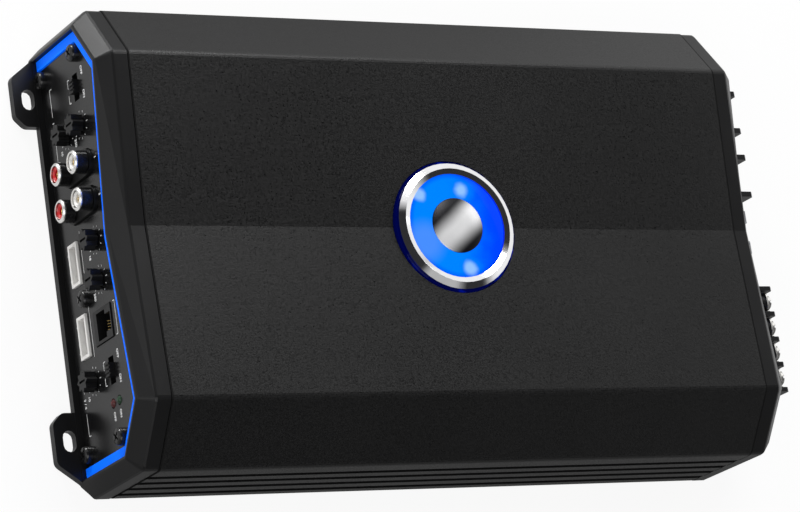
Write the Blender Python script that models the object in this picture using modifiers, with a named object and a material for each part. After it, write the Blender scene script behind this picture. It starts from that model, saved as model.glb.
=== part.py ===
"""Car amplifier: a grooved aluminium case closed at each end by a bevelled frame and a fitted panel.

Lengths are in metres and +Z is up. The origin lies under the middle of the case, on the surface that
the feet stand on. The length runs along X, with the controls at -X and the wire terminals at +X.

The pieces of an end are modelled in that end's own frame: +X points out of the panel, +Y to the right
of a person who faces it, and +Z up.
"""

import math

import bmesh
import bpy
import numpy as np
from mathutils import Matrix

# Fits
FIT = 0.0003                # gap between two pieces that touch
OVERSHOOT = 0.001           # how far a cutter runs past the surface that it opens
SHARP_ANGLE = math.radians(35)

# Case section
WIDTH = 0.165
CASE_LENGTH = 0.242
CROWN_HEIGHT = 0.0578       # floor to the two long ridges beside the valley
CROWN_SPAN = 0.1232         # ridge to ridge
VALLEY_DROP = 0.0037        # ridges to the valley along the middle
SHOULDER_HEIGHT = 0.0411    # floor to the top of the upright sides
CREASE_RADIUS = 0.003
CREASE_STEPS = 3
TOP_WALL = 0.004
SIDE_WALL = 0.008

# Cooling grooves along the sides
GROOVE_COUNT = 4
GROOVE_WIDTH = 0.0034
GROOVE_DEPTH = 0.004
GROOVE_MARGIN = 0.0081      # shoulder to the highest groove
GROOVE_FOOT = 0.0039        # case bottom to the lowest groove

# Bottom plate and circuit board, held in rebates of the sides
PLATE_THICKNESS = 0.0015
REBATE_DEPTH = 0.002
BOARD_THICKNESS = 0.0016
BOARD_LIFT = 0.006          # case bottom to the board's underside
BOARD_BITE = 0.0015         # how far the board reaches into its grooves
BOARD_SETBACK = 0.0015      # case end to board end

# End frames
BAND_WIDTH = 0.0055
BAND_DROP = 0.00025         # the band lies this much below the case surface
BEZEL_DEPTH = 0.005
BEZEL_SIDE_INSET = 0.0051
BEZEL_SHOULDER_DROP = 0.0025
BEZEL_CROWN_INSET = 0.0016
BEZEL_CROWN_DROP = 0.0054
BEZEL_VALLEY_DROP = 0.0084
BEZEL_EDGE = 0.0004         # small chamfer along the frame's creases
RIM_RADIUS = 0.001
RIM_WALL = 0.0012
RAIL_LIFT = 0.0005          # floor to the frame between its feet
RAIL_HEIGHT = 0.003
PANEL_LEDGE = 0.0025

# Feet, part of the end frames
FOOT_THICKNESS = 0.0032
PAD_THICKNESS = 0.0017      # where the foot runs under the case
FOOT_REACH = 0.0086         # beyond the frame's front
FOOT_TUCK = 0.010           # under the case
FOOT_WIDTH = 0.030
FOOT_SIDE_INSET = 0.0005
FOOT_INNER_CHAMFER = 0.0037
FOOT_OUTER_CHAMFER = 0.0118
FOOT_NOTCH = 0.0006         # rim's side to the foot's edge, where the foot leaves the rim
FOOT_RADIUS = 0.003
FOOT_STEPS = 4
SLOT_WIDTH = 0.0048
SLOT_LENGTH = 0.0076
SLOT_SETBACK = 0.0056       # foot tip to the slot's middle
SLOT_INSET = 0.0199         # foot's outer side to the slot's middle
SLOT_STEPS = 6

# Panels and their coloured trims
TRIM_SINK = 0.0015          # frame front to trim face
TRIM_PROUD = 0.0006         # trim face above the panel face
TRIM_THICKNESS = 0.0014
TRIM_WIDTH = 0.0039
PANEL_THICKNESS = 0.0022

# Emblem on the case top
EMBLEM_RADIUS = 0.0242
EMBLEM_SEAT_DEPTH = 0.0012
RING_SETBACK = 0.0009       # skirt of the lens that shows round the ring
RING_WIDTH = 0.0041
RING_SLOPE = 0.0022         # width of the ring's sloping outer face
RING_HEIGHT = 0.002
RING_EDGE = 0.0007
RING_INNER_DROP = 0.0006
LENS_DOME = 0.0006
LENS_EDGE_DROP = 0.0003     # lens edge below the ring's bore edge
CAP_RADIUS = 0.0101
CAP_THICKNESS = 0.0009
CAP_DOME = 0.0005
CAP_SINK = 0.0004           # how deep the cap sits in the lens
EMBLEM_STEPS = 48

# Rotary controls
KNOB_RADIUS = 0.0033
KNOB_LOBES = 8
KNOB_LOBE_STEPS = 4
KNOB_LOBE_HEIGHT = 0.0006
KNOB_LENGTH = 0.0041
KNOB_LIFT = 0.0006          # panel face to the knob's back
KNOB_SLOT_WIDTH = 0.0008
KNOB_SLOT_LENGTH = 0.0044
KNOB_SLOT_DEPTH = 0.0008
SHAFT_RADIUS = 0.002
SHAFT_STEPS = 12
POT_WIDTH = 0.0096
POT_DEPTH = 0.0065
POT_BORE_DEPTH = 0.004

# Slide switches
LEVER_LENGTH = 0.0048
LEVER_WIDTH = 0.0031
LEVER_PROUD = 0.002
LEVER_TRAVEL = 0.0021       # each way
LEVER_RIDGES = 4
LEVER_RIDGE_DEPTH = 0.0004
LEVER_SIDE_GAP = 0.0005
SWITCH_MARGIN = 0.002
SWITCH_DEPTH = 0.005

# Phono input jacks, stacked in pairs
JACK_PITCH = 0.014
FLANGE_RADIUS = 0.0047
FLANGE_PROUD = 0.0012
SLEEVE_RADIUS = 0.0041
SLEEVE_WALL = 0.0011
SLEEVE_EDGE = 0.0005        # chamfer round the sleeve's mouth
SLEEVE_LENGTH = 0.0048
INSERT_SINK = 0.0005
INSERT_BORE_RADIUS = 0.0016
INSERT_FLARE = 0.0005
INPUT_BLOCK_WIDTH = 0.0106
INPUT_BLOCK_MARGIN = 0.0063
INPUT_BLOCK_DEPTH = 0.010
JACK_STEPS = 22
JACK_ROWS = {"right": -1, "left": 1}

# Four-pin speaker-level sockets
SOCKET_LENGTH = 0.0152
SOCKET_HEIGHT = 0.007
SOCKET_WALL = 0.0011
SOCKET_PROUD = 0.0008
SOCKET_POCKET = 0.008
SOCKET_FLOOR = 0.002

# Modular jack for the remote control
MODULAR_WIDTH = 0.0118
MODULAR_HEIGHT = 0.014
MODULAR_PROUD = 0.0004
MODULAR_POCKET = 0.011
MODULAR_FLOOR = 0.002
MODULAR_MOUTH_WIDTH = 0.0097
MODULAR_MOUTH_HEIGHT = 0.0068
MODULAR_LATCH_WIDTH = 0.0062
MODULAR_LATCH_HEIGHT = 0.004
MODULAR_MOUTH_LIFT = 0.001  # middle of the jack to the middle of its mouth

# Indicator lamps
LAMP_RADIUS = 0.0015
LAMP_PROUD = 0.0009
LAMP_TAIL = 0.002
LAMP_STEPS = 12

# Terminal blocks
BLOCK_MARGIN = 0.003        # panel edge to a block's end, below and above
BLOCK_PROUD = 0.0035        # panel face to the floor of the cells
BLOCK_TAIL = 0.004          # behind the panel
FIN_NOSE = 0.0009           # chamfer on the fins' outer corners
POST_MARGIN = 0.0002        # rim of a screw's head to the side of its post
SCREW_LIFT = 0.0011         # post to the underside of a screw head
SCREW_STEPS = 14
SUPPLY_CELL = 0.0147
REMOTE_CELL = 0.0106
POWER_FIN = 0.002
POWER_REACH = 0.0121        # panel face to the fin tips
POWER_DROP = 0.0092         # top of the block to the row of screws
POWER_POST = 0.0038         # cell floor to the top of a post
POWER_HEAD_RADIUS = 0.0036
POWER_HEAD_HEIGHT = 0.0024
POWER_SHANK_RADIUS = 0.002
SPEAKER_COLUMNS = 4
SPEAKER_PITCH = 0.00978
SPEAKER_FIN = 0.0017
SPEAKER_REACH = 0.0133
SPEAKER_DROP = 0.0032       # either end of the block to the nearer row of screws
SPEAKER_POST = 0.0063
SPEAKER_HEAD_RADIUS = 0.0029
SPEAKER_HEAD_HEIGHT = 0.0018
SPEAKER_SHANK_RADIUS = 0.0014
SHANK_LENGTH = 0.0045
DRIVE_SLOT_WIDTH = 0.001
DRIVE_SLOT_DEPTH = 0.001

# Fuse holder and its two blade fuses
FUSE_PITCH = 0.012
FUSE_LENGTH = 0.019
FUSE_WIDTH = 0.0048
FUSE_REACH = 0.011          # panel face to the fuse's outer end
FUSE_SEAT = 0.002           # how deep the fuse body sits in the holder
FUSE_SHOULDER = 0.0025      # narrower step under the fuse's head
FUSE_HEAD = 0.004
BLADE_LENGTH = 0.007
BLADE_WIDTH = 0.0052
BLADE_THICKNESS = 0.0008
BLADE_SPREAD = 0.0105
HOLDER_PROUD = 0.004
HOLDER_MARGIN = 0.0012
HOLDER_FLOOR = 0.002
HOLDER_DROP = 0.004         # top of the terminal blocks to the holder's top
HOLDER_GAP = 0.0025         # holder to the power block beside it

# Inner pieces
CAN_RADIUS = 0.009
CAN_HEIGHT = 0.030
CAN_PITCH = 0.021
CAN_COUNT = 4
CAN_PLACE = 0.070           # distance of the row of cans from the middle, towards the terminals
CAN_STEPS = 20
COIL_RADIUS = 0.015
COIL_WIRE_RADIUS = 0.0065
COIL_PLACE = 0.030
COIL_STEPS = 22
COIL_SIDES = 8
PACKAGE_COUNT = 8
PACKAGE_PITCH = 0.018
PACKAGE_WIDTH = 0.0105
PACKAGE_THICKNESS = 0.0045
PACKAGE_HEIGHT = 0.016
CLAMP_THICKNESS = 0.003

# Places that follow from the sizes above
HALF_WIDTH = WIDTH / 2
CASE_END = CASE_LENGTH / 2
CROWN_HALF = CROWN_SPAN / 2
VALLEY_HEIGHT = CROWN_HEIGHT - VALLEY_DROP
CASE_BASE = PAD_THICKNESS + FIT
GROOVE_TOP = SHOULDER_HEIGHT - GROOVE_MARGIN
GROOVE_RUN = GROOVE_TOP - GROOVE_WIDTH - GROOVE_FOOT - CASE_BASE
GROOVE_PITCH = GROOVE_RUN / (GROOVE_COUNT - 1)
INNER_HALF = HALF_WIDTH - SIDE_WALL
REBATE_HALF = INNER_HALF + REBATE_DEPTH
BOARD_BASE = CASE_BASE + BOARD_LIFT
BOARD_TOP = BOARD_BASE + BOARD_THICKNESS
FRAME_BACK = CASE_END + FIT
FRAME_CREASE = FRAME_BACK + BAND_WIDTH
FRAME_FRONT = FRAME_CREASE + BEZEL_DEPTH
TRIM_FACE = FRAME_FRONT - TRIM_SINK
TRIM_BACK = TRIM_FACE - TRIM_THICKNESS
PANEL_FACE = TRIM_FACE - TRIM_PROUD
PANEL_BACK = PANEL_FACE - PANEL_THICKNESS
FOOT_TIP = FRAME_FRONT + FOOT_REACH
FOOT_SIDE = HALF_WIDTH - FOOT_SIDE_INSET
POWER_TIP = PANEL_FACE + POWER_REACH
SPEAKER_TIP = PANEL_FACE + SPEAKER_REACH
CELL_FLOOR = PANEL_FACE + BLOCK_PROUD
EMBLEM_FLOOR = VALLEY_HEIGHT - EMBLEM_SEAT_DEPTH
EMBLEM_SURFACE = VALLEY_HEIGHT + VALLEY_DROP * EMBLEM_RADIUS / CROWN_HALF
LENS_BASE = EMBLEM_FLOOR + FIT
RING_BASE = EMBLEM_SURFACE + FIT
RING_TOP = RING_BASE + RING_HEIGHT
RING_RADIUS = EMBLEM_RADIUS - RING_SETBACK
RING_BORE_RADIUS = RING_RADIUS - RING_WIDTH
RING_RIDGE_RADIUS = RING_RADIUS - RING_SLOPE
LENS_EDGE = RING_TOP - RING_INNER_DROP - LENS_EDGE_DROP
CAP_FLOOR = LENS_EDGE - CAP_SINK
PANEL_HALF = HALF_WIDTH - BEZEL_SIDE_INSET - RIM_WALL
PANEL_LOW = RAIL_LIFT + RAIL_HEIGHT
PANEL_HIGH = VALLEY_HEIGHT - BEZEL_VALLEY_DROP - RIM_WALL       # at the valley
BLOCK_LOW = PANEL_LOW + BLOCK_MARGIN
BLOCK_HIGH = PANEL_HIGH - BLOCK_MARGIN
BLOCK_MIDDLE = (BLOCK_LOW + BLOCK_HIGH) / 2
BLOCK_HEIGHT = BLOCK_HIGH - BLOCK_LOW
POWER_CELLS = (SUPPLY_CELL, REMOTE_CELL, SUPPLY_CELL)
SPEAKER_CELLS = (SPEAKER_PITCH,) * SPEAKER_COLUMNS
POWER_ROW = BLOCK_HIGH - POWER_DROP
SPEAKER_ROW_PLACES = {"lower": BLOCK_LOW + SPEAKER_DROP, "upper": BLOCK_HIGH - SPEAKER_DROP}
HOLDER_WIDTH = FUSE_PITCH + FUSE_WIDTH + 2 * (FIT + HOLDER_MARGIN)
HOLDER_HEIGHT = FUSE_LENGTH + 2 * (FIT + HOLDER_MARGIN)
HOLDER_FACE = PANEL_FACE + HOLDER_PROUD
OUTWARD = (0.0, math.pi / 2, 0.0)       # turns a shape made along Z to point out of its panel


def panel_spot(across, up):
    """Point on a panel, as a share of its half width and of its height at the valley."""
    return (across * PANEL_HALF, PANEL_LOW + up * (PANEL_HIGH - PANEL_LOW))


# Places on the panels
KNOB_PLACES = {
    "front_crossover": panel_spot(-0.566, 0.698),
    "front_level": panel_spot(-0.566, 0.410),
    "bass_boost": panel_spot(-0.021, 0.693),
    "rear_crossover": panel_spot(0.165, 0.698),
    "rear_level": panel_spot(0.588, 0.349),
}
SWITCH_PLACES = {
    "front_filter": panel_spot(-0.748, 0.693),
    "rear_filter": panel_spot(0.588, 0.710),
}
JACK_PLACES = {
    "front": panel_spot(-0.381, 0.561),
    "rear": panel_spot(-0.206, 0.561),
}
SOCKET_PLACES = {
    "front": panel_spot(0.029, 0.268),
    "rear": panel_spot(0.370, 0.271),
}
MODULAR_PLACE = panel_spot(0.370, 0.659)
LAMP_PLACES = {
    "protect_lamp": panel_spot(0.735, 0.656),
    "power_lamp": panel_spot(0.735, 0.776),
}
SPEAKER_START = -0.502 * PANEL_HALF - sum(SPEAKER_CELLS) / 2
POWER_START = 0.505 * PANEL_HALF - sum(POWER_CELLS) / 2
HOLDER_END = POWER_START - POWER_FIN / 2 - HOLDER_GAP
FUSE_MIDDLE = (HOLDER_END - HOLDER_WIDTH / 2, BLOCK_HIGH - HOLDER_DROP - HOLDER_HEIGHT / 2)


def clear_scene():
    """Remove whatever the scene holds."""
    for piece in list(bpy.data.objects):
        bpy.data.objects.remove(piece)


def new_collection(name):
    """Add a collection to the scene."""
    collection = bpy.data.collections.new(name)
    bpy.context.scene.collection.children.link(collection)
    return collection


def new_material(name, colour, roughness, metallic=0.0):
    """Make a plain Principled material."""
    material = bpy.data.materials.new(name)
    material.use_nodes = True
    shader = material.node_tree.nodes["Principled BSDF"]
    shader.inputs["Base Color"].default_value = (*colour, 1.0)
    shader.inputs["Roughness"].default_value = roughness
    shader.inputs["Metallic"].default_value = metallic
    return material


clear_scene()
PARTS = new_collection("car_amplifier")
CUTTERS = new_collection("car_amplifier_cutters")
COATED_ALUMINIUM = new_material("coated_aluminium", (0.018, 0.018, 0.019), 0.55, 0.4)
SATIN_BLACK = new_material("satin_black", (0.014, 0.014, 0.015), 0.42)
PANEL_GREY = new_material("panel_grey", (0.055, 0.055, 0.057), 0.5)
BLUE_TRIM = new_material("blue_trim", (0.003, 0.15, 1.0), 0.35)
BLUE_LENS = new_material("blue_lens", (0.005, 0.12, 0.95), 0.08)
CHROME = new_material("chrome", (0.82, 0.82, 0.84), 0.08, 1.0)
NICKEL = new_material("nickel", (0.72, 0.71, 0.69), 0.18, 1.0)
BLACK_PLASTIC = new_material("black_plastic", (0.012, 0.012, 0.012), 0.45)
WHITE_PLASTIC = new_material("white_plastic", (0.8, 0.79, 0.76), 0.4)
RED_PLASTIC = new_material("red_plastic", (0.55, 0.01, 0.012), 0.35)
GREEN_LAMP = new_material("green_lamp", (0.08, 0.4, 0.16), 0.2)
RED_LAMP = new_material("red_lamp", (0.5, 0.1, 0.1), 0.2)
CLEAR_FUSE = new_material("clear_fuse", (0.62, 0.64, 0.64), 0.25)
BOARD_GREEN = new_material("board_green", (0.02, 0.13, 0.05), 0.5)
COPPER_WIRE = new_material("copper_wire", (0.55, 0.2, 0.06), 0.35, 0.9)
ZINC_STEEL = new_material("zinc_steel", (0.35, 0.35, 0.36), 0.4, 0.9)


# Outlines, as lists of points in a plane

def arch(half_width, shoulder, crown_half, crown, valley, base):
    """Section of the case, counter-clockwise from its lower right corner."""
    right = [(half_width, base), (half_width, shoulder), (crown_half, crown)]
    left = [(-y, z) for y, z in reversed(right)]
    return right + [(0.0, valley)] + left


def inset(outline, distance, base_distance=0.0):
    """Move every side of an arch inwards, its base by an amount of its own."""
    count = len(outline)
    points = [np.array(point) for point in outline]
    sides = []
    for index, point in enumerate(points):
        along = points[(index + 1) % count] - point
        inward = np.array((-along[1], along[0])) / np.hypot(*along)
        step = base_distance if index == count - 1 else distance
        sides.append((point + inward * step, along))
    moved = []
    for index in range(count):
        (start, along), (other, across) = sides[index - 1], sides[index]
        reach = np.linalg.solve(np.column_stack((along, -across)), other - start)[0]
        moved.append(tuple(start + along * reach))
    return moved


def fillet(before, corner, after, radius, steps):
    """Points of an arc that rounds one corner, no longer than its two sides allow."""
    corner = np.array(corner)
    back, ahead = np.array(before) - corner, np.array(after) - corner
    room = min(np.hypot(*back), np.hypot(*ahead)) / 2
    back, ahead = back / np.hypot(*back), ahead / np.hypot(*ahead)
    half_angle = math.acos(float(np.clip(back @ ahead, -1, 1))) / 2
    setback = min(radius / math.tan(half_angle), room)
    reach = setback / math.cos(half_angle)
    middle = (back + ahead) / np.hypot(*(back + ahead)) * reach
    start, end = back * setback - middle, ahead * setback - middle
    turn = math.pi - 2 * half_angle
    arc = []
    for step in range(steps + 1):
        share = step / steps
        blend = math.sin((1 - share) * turn) * start + math.sin(share * turn) * end
        arc.append(tuple(corner + middle + blend / math.sin(turn)))
    return arc


def round_corners(outline, radius, steps, corners):
    """Round the named corners of a closed outline."""
    count = len(outline)
    rounded = []
    for index, corner in enumerate(outline):
        if index in corners:
            neighbours = outline[index - 1], corner, outline[(index + 1) % count]
            rounded += fillet(*neighbours, radius, steps)
        else:
            rounded.append(corner)
    return rounded


def circle(radius, steps, middle=(0.0, 0.0)):
    """Points of a circle."""
    turns = [2 * math.pi * (step + 0.5) / steps for step in range(steps)]
    return [(middle[0] + radius * math.cos(a), middle[1] + radius * math.sin(a)) for a in turns]


def rectangle(width, height, middle=(0.0, 0.0)):
    """Corners of a rectangle about a middle point."""
    corners = ((1, -1), (1, 1), (-1, 1), (-1, -1))
    return [(middle[0] + u * width / 2, middle[1] + v * height / 2) for u, v in corners]


def stadium(radius, straight, steps, middle=(0.0, 0.0)):
    """Outline with round ends and straight sides, long along its second axis."""
    points = []
    for end in (1, -1):
        for step in range(steps + 1):
            turn = math.pi * step / steps
            across = end * radius * math.cos(turn)
            along = end * (straight / 2 + radius * math.sin(turn))
            points.append((middle[0] + across, middle[1] + along))
    return points


def grown(size, clearance=FIT):
    """Size of an opening that clears a piece on both sides."""
    return size + 2 * clearance


# Meshes

AXIS_TURNS = {
    "X": Matrix(((0, 0, 1, 0), (1, 0, 0, 0), (0, 1, 0, 0), (0, 0, 0, 1))),
    "Y": Matrix(((1, 0, 0, 0), (0, 0, -1, 0), (0, 1, 0, 0), (0, 0, 0, 1))),
    "Z": Matrix.Identity(4),
}


def evaluated_mesh(guide):
    """Mesh of an object as its settings and modifiers make it; the object is removed."""
    bpy.context.scene.collection.objects.link(guide)
    depsgraph = bpy.context.evaluated_depsgraph_get()
    mesh = bpy.data.meshes.new_from_object(guide.evaluated_get(depsgraph))
    bpy.data.objects.remove(guide)
    return mesh


def close_ends(mesh):
    """Weld the walls of a drawn-out outline, cap its two ends and turn its faces outwards."""
    shape = bmesh.new()
    shape.from_mesh(mesh)
    bmesh.ops.remove_doubles(shape, verts=shape.verts, dist=0.000001)
    bmesh.ops.holes_fill(shape, edges=shape.edges)
    bmesh.ops.recalc_face_normals(shape, faces=shape.faces)
    shape.to_mesh(mesh)
    shape.free()


def slab(name, outlines, low, high, axis="X"):
    """Closed outlines drawn out along X, Y or Z.

    The outlines lie in the (y, z) plane for X, in (x, z) for Y and in (x, y) for Z.
    """
    curve = bpy.data.curves.new(name, "CURVE")
    curve.dimensions = "2D"
    curve.fill_mode = "NONE"
    curve.extrude = (high - low) / 2
    for outline in outlines:
        spline = curve.splines.new("POLY")
        spline.points.add(len(outline) - 1)
        for point, (u, v) in zip(spline.points, outline):
            point.co = (u, v, 0, 1)
        spline.use_cyclic_u = True
    mesh = evaluated_mesh(bpy.data.objects.new(name, curve))
    close_ends(mesh)
    mesh.transform(AXIS_TURNS[axis])
    middle = (low + high) / 2
    mesh.transform(Matrix.Translation([middle if letter == axis else 0 for letter in "XYZ"]))
    return mesh


def turned(name, points, steps, ring=False):
    """Turn a half section about Z, from (radius, height) points that run down its outer side."""
    edges = [(index, index + 1) for index in range(len(points) - 1)]
    if ring:
        edges.append((len(points) - 1, 0))
    section = bpy.data.meshes.new(name)
    section.from_pydata([(radius, 0, height) for radius, height in points], edges, [])
    guide = bpy.data.objects.new(name, section)
    screw = guide.modifiers.new("turned", "SCREW")
    screw.steps = steps
    screw.render_steps = steps
    screw.use_merge_vertices = True
    screw.merge_threshold = 0.00001
    return evaluated_mesh(guide)


def loft(name, sections):
    """Closed solid through sections with the same number of points, each (x, outline)."""
    shape = bmesh.new()
    rings = [[shape.verts.new((x, y, z)) for y, z in outline] for x, outline in sections]
    for ring, following in zip(rings, rings[1:]):
        for index in range(len(ring)):
            corners = (ring[index - 1], ring[index], following[index], following[index - 1])
            shape.faces.new(corners)
    shape.faces.new(rings[0])
    shape.faces.new(rings[-1])
    bmesh.ops.recalc_face_normals(shape, faces=shape.faces)
    mesh = bpy.data.meshes.new(name)
    shape.to_mesh(mesh)
    shape.free()
    return mesh


def block(name, low, high):
    """Box between two corners."""
    shape = bmesh.new()
    bmesh.ops.create_cube(shape, size=1.0)
    size = [b - a for a, b in zip(low, high)]
    middle = [(a + b) / 2 for a, b in zip(low, high)]
    bmesh.ops.scale(shape, vec=size, verts=shape.verts)
    bmesh.ops.translate(shape, vec=middle, verts=shape.verts)
    mesh = bpy.data.meshes.new(name)
    shape.to_mesh(mesh)
    shape.free()
    return mesh


# Objects

def place(name, mesh, material, parent=None, location=(0, 0, 0), rotation=(0, 0, 0)):
    """Add a piece of the amplifier."""
    mesh.shade_smooth()
    mesh.set_sharp_from_angle(angle=SHARP_ANGLE)
    mesh.materials.append(material)
    piece = bpy.data.objects.new(name, mesh)
    piece.parent = parent
    piece.location = location
    piece.rotation_euler = rotation
    PARTS.objects.link(piece)
    return piece


def place_tool(name, mesh, parent=None, location=(0, 0, 0), rotation=(0, 0, 0)):
    """Add a shape that only cuts or joins a piece."""
    tool = bpy.data.objects.new(name, mesh)
    tool.parent = parent
    tool.location = location
    tool.rotation_euler = rotation
    tool.hide_render = True
    tool.display_type = "WIRE"
    CUTTERS.objects.link(tool)
    return tool


def combine(piece, tool, operation):
    """Cut a tool out of a piece, or join it to the piece."""
    modifier = piece.modifiers.new(tool.name, "BOOLEAN")
    modifier.operation = operation
    modifier.object = tool


def end_axes(name, turn):
    """Empty whose +X points out of one end."""
    axes = bpy.data.objects.new(name, None)
    axes.rotation_euler = (0, 0, turn)
    PARTS.objects.link(axes)
    return axes


# Case

def case_outline():
    """Section of the extruded case: grooved sides, chamfers, a shallow valley, open below."""
    outer = [(HALF_WIDTH, CASE_BASE)]
    for index in reversed(range(GROOVE_COUNT)):
        top = GROOVE_TOP - index * GROOVE_PITCH
        floor = HALF_WIDTH - GROOVE_DEPTH
        low = top - GROOVE_WIDTH
        outer += [(HALF_WIDTH, low), (floor, low), (floor, top), (HALF_WIDTH, top)]
    shoulder = (HALF_WIDTH, SHOULDER_HEIGHT)
    crown = (CROWN_HALF, CROWN_HEIGHT)
    valley = (0.0, VALLEY_HEIGHT)
    outer += fillet(outer[-1], shoulder, crown, CREASE_RADIUS, CREASE_STEPS)
    outer += fillet(shoulder, crown, valley, CREASE_RADIUS, CREASE_STEPS)
    board_low = BOARD_BASE - FIT
    board_high = BOARD_TOP + FIT
    inner = [
        (REBATE_HALF, CASE_BASE),
        (REBATE_HALF, CASE_BASE + PLATE_THICKNESS + FIT),
        (INNER_HALF, CASE_BASE + PLATE_THICKNESS + FIT),
        (INNER_HALF, board_low),
        (REBATE_HALF, board_low),
        (REBATE_HALF, board_high),
        (INNER_HALF, board_high),
        (INNER_HALF, SHOULDER_HEIGHT - TOP_WALL),
        (CROWN_HALF - TOP_WALL, CROWN_HEIGHT - TOP_WALL),
    ]
    right = list(reversed(inner)) + outer
    left = [(-y, z) for y, z in reversed(right)]
    return right + [valley] + left + [(0.0, VALLEY_HEIGHT - TOP_WALL)]


def build_case():
    """Extruded case with a round seat for the emblem, and the plate that closes it below."""
    shell = slab("heatsink_shell", [case_outline()], -CASE_END, CASE_END)
    shell = place("heatsink_shell", shell, COATED_ALUMINIUM)
    seat = slab("emblem_seat", [circle(EMBLEM_RADIUS + FIT, EMBLEM_STEPS)], EMBLEM_FLOOR,
                CROWN_HEIGHT + OVERSHOOT, "Z")
    combine(shell, place_tool("emblem_seat", seat), "DIFFERENCE")
    plate = block("bottom_plate", (-CASE_END, FIT - REBATE_HALF, CASE_BASE),
                  (CASE_END, REBATE_HALF - FIT, CASE_BASE + PLATE_THICKNESS))
    place("bottom_plate", plate, ZINC_STEEL)


# Ends

def rim_outline():
    """Front edge of an end frame."""
    return arch(HALF_WIDTH - BEZEL_SIDE_INSET, SHOULDER_HEIGHT - BEZEL_SHOULDER_DROP,
                CROWN_HALF - BEZEL_CROWN_INSET, CROWN_HEIGHT - BEZEL_CROWN_DROP,
                VALLEY_HEIGHT - BEZEL_VALLEY_DROP, RAIL_LIFT)


def pocket_outline():
    """Opening inside the rim that takes the panel."""
    return inset(rim_outline(), RIM_WALL, RAIL_HEIGHT)


def foot_outline(side):
    """Plan of one foot: a pad under the case and a chamfered tab."""
    inner = FOOT_SIDE - FOOT_WIDTH
    back = CASE_END - FOOT_TUCK
    corner = [
        (back, inner),
        (FOOT_TIP - FOOT_INNER_CHAMFER, inner),
        (FOOT_TIP, inner + FOOT_INNER_CHAMFER),
        (FOOT_TIP, FOOT_SIDE - FOOT_OUTER_CHAMFER),
        (FRAME_FRONT, HALF_WIDTH - BEZEL_SIDE_INSET - FOOT_NOTCH),
        (FRAME_CREASE, FOOT_SIDE),
        (back, FOOT_SIDE),
    ]
    rounded = round_corners(corner, FOOT_RADIUS, FOOT_STEPS, (1, 2, 3))
    return [(x, side * y) for x, y in rounded]


def slot_outline(side):
    """Plan of a foot's screw slot, long across the case."""
    middle = (FOOT_TIP - SLOT_SETBACK, side * (FOOT_SIDE - SLOT_INSET))
    return stadium(SLOT_WIDTH / 2, SLOT_LENGTH - SLOT_WIDTH, SLOT_STEPS, middle)


def build_end_frame(name, axes):
    """Bevelled frame with a stepped opening for the panel and two slotted feet."""
    corners = (1, 2, 3, 4, 5)
    full = arch(HALF_WIDTH, SHOULDER_HEIGHT, CROWN_HALF, CROWN_HEIGHT, VALLEY_HEIGHT, RAIL_LIFT)
    band = round_corners(inset(full, BAND_DROP), CREASE_RADIUS, CREASE_STEPS, corners)
    rim = round_corners(rim_outline(), RIM_RADIUS, CREASE_STEPS, corners)
    nose = round_corners(inset(rim_outline(), BEZEL_EDGE), RIM_RADIUS, CREASE_STEPS, corners)

    def bevel(share):
        return [tuple(np.array(a) * (1 - share) + np.array(b) * share) for a, b in zip(band, rim)]

    edge_share = BEZEL_EDGE / BEZEL_DEPTH
    sections = [
        (FRAME_BACK, band),
        (FRAME_CREASE - BEZEL_EDGE, band),
        (FRAME_CREASE + BEZEL_EDGE, bevel(edge_share)),
        (FRAME_FRONT - BEZEL_EDGE, bevel(1 - edge_share)),
        (FRAME_FRONT, nose),
    ]
    frame = place(name, loft(name, sections), SATIN_BLACK, axes)
    for side in (1, -1):
        label = f"{name}_foot_{'left' if side < 0 else 'right'}"
        foot = slab(label, [foot_outline(side)], 0.0, FOOT_THICKNESS, "Z")
        combine(frame, place_tool(label, foot, axes), "UNION")
    slots = slab(f"{name}_slots", [slot_outline(1), slot_outline(-1)], -OVERSHOOT,
                 FOOT_THICKNESS + OVERSHOOT, "Z")
    combine(frame, place_tool(f"{name}_slots", slots, axes), "DIFFERENCE")
    under = block(f"{name}_under", (CASE_END - FOOT_TUCK - OVERSHOOT, -HALF_WIDTH, PAD_THICKNESS),
                  (FRAME_BACK, HALF_WIDTH, CASE_BASE + FOOT_THICKNESS))
    combine(frame, place_tool(f"{name}_under", under, axes), "DIFFERENCE")
    pocket = slab(f"{name}_pocket", [pocket_outline()], PANEL_BACK - FIT, FRAME_FRONT + OVERSHOOT)
    combine(frame, place_tool(f"{name}_pocket", pocket, axes), "DIFFERENCE")
    way = slab(f"{name}_way", [inset(pocket_outline(), PANEL_LEDGE, PANEL_LEDGE)],
               FRAME_BACK - OVERSHOOT, PANEL_FACE)
    combine(frame, place_tool(f"{name}_way", way, axes), "DIFFERENCE")


def trim_outline(outer_gap, inner_gap):
    """Strip that follows the sides and the top of the panel opening, open along the rail."""
    outer = inset(pocket_outline(), outer_gap, FIT)
    inner = inset(pocket_outline(), TRIM_WIDTH + inner_gap, FIT)
    return outer + list(reversed(inner))


def build_panel(name, axes, openings):
    """Panel in its frame, with a rebate round its edge and openings for its fittings."""
    edge = inset(pocket_outline(), FIT, FIT)
    panel = place(name, slab(name, [edge], PANEL_BACK, PANEL_FACE), PANEL_GREY, axes)
    ways = slab(f"{name}_openings", openings, PANEL_BACK - OVERSHOOT, PANEL_FACE + OVERSHOOT)
    combine(panel, place_tool(f"{name}_openings", ways, axes), "DIFFERENCE")
    strip = trim_outline(-OVERSHOOT, FIT)
    for index in (0, 6, 7, -1):
        strip[index] = (strip[index][0], strip[index][1] - OVERSHOOT)
    rebate = slab(f"{name}_rebate", [strip], TRIM_BACK - FIT, PANEL_FACE + OVERSHOOT)
    combine(panel, place_tool(f"{name}_rebate", rebate, axes), "DIFFERENCE")


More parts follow.
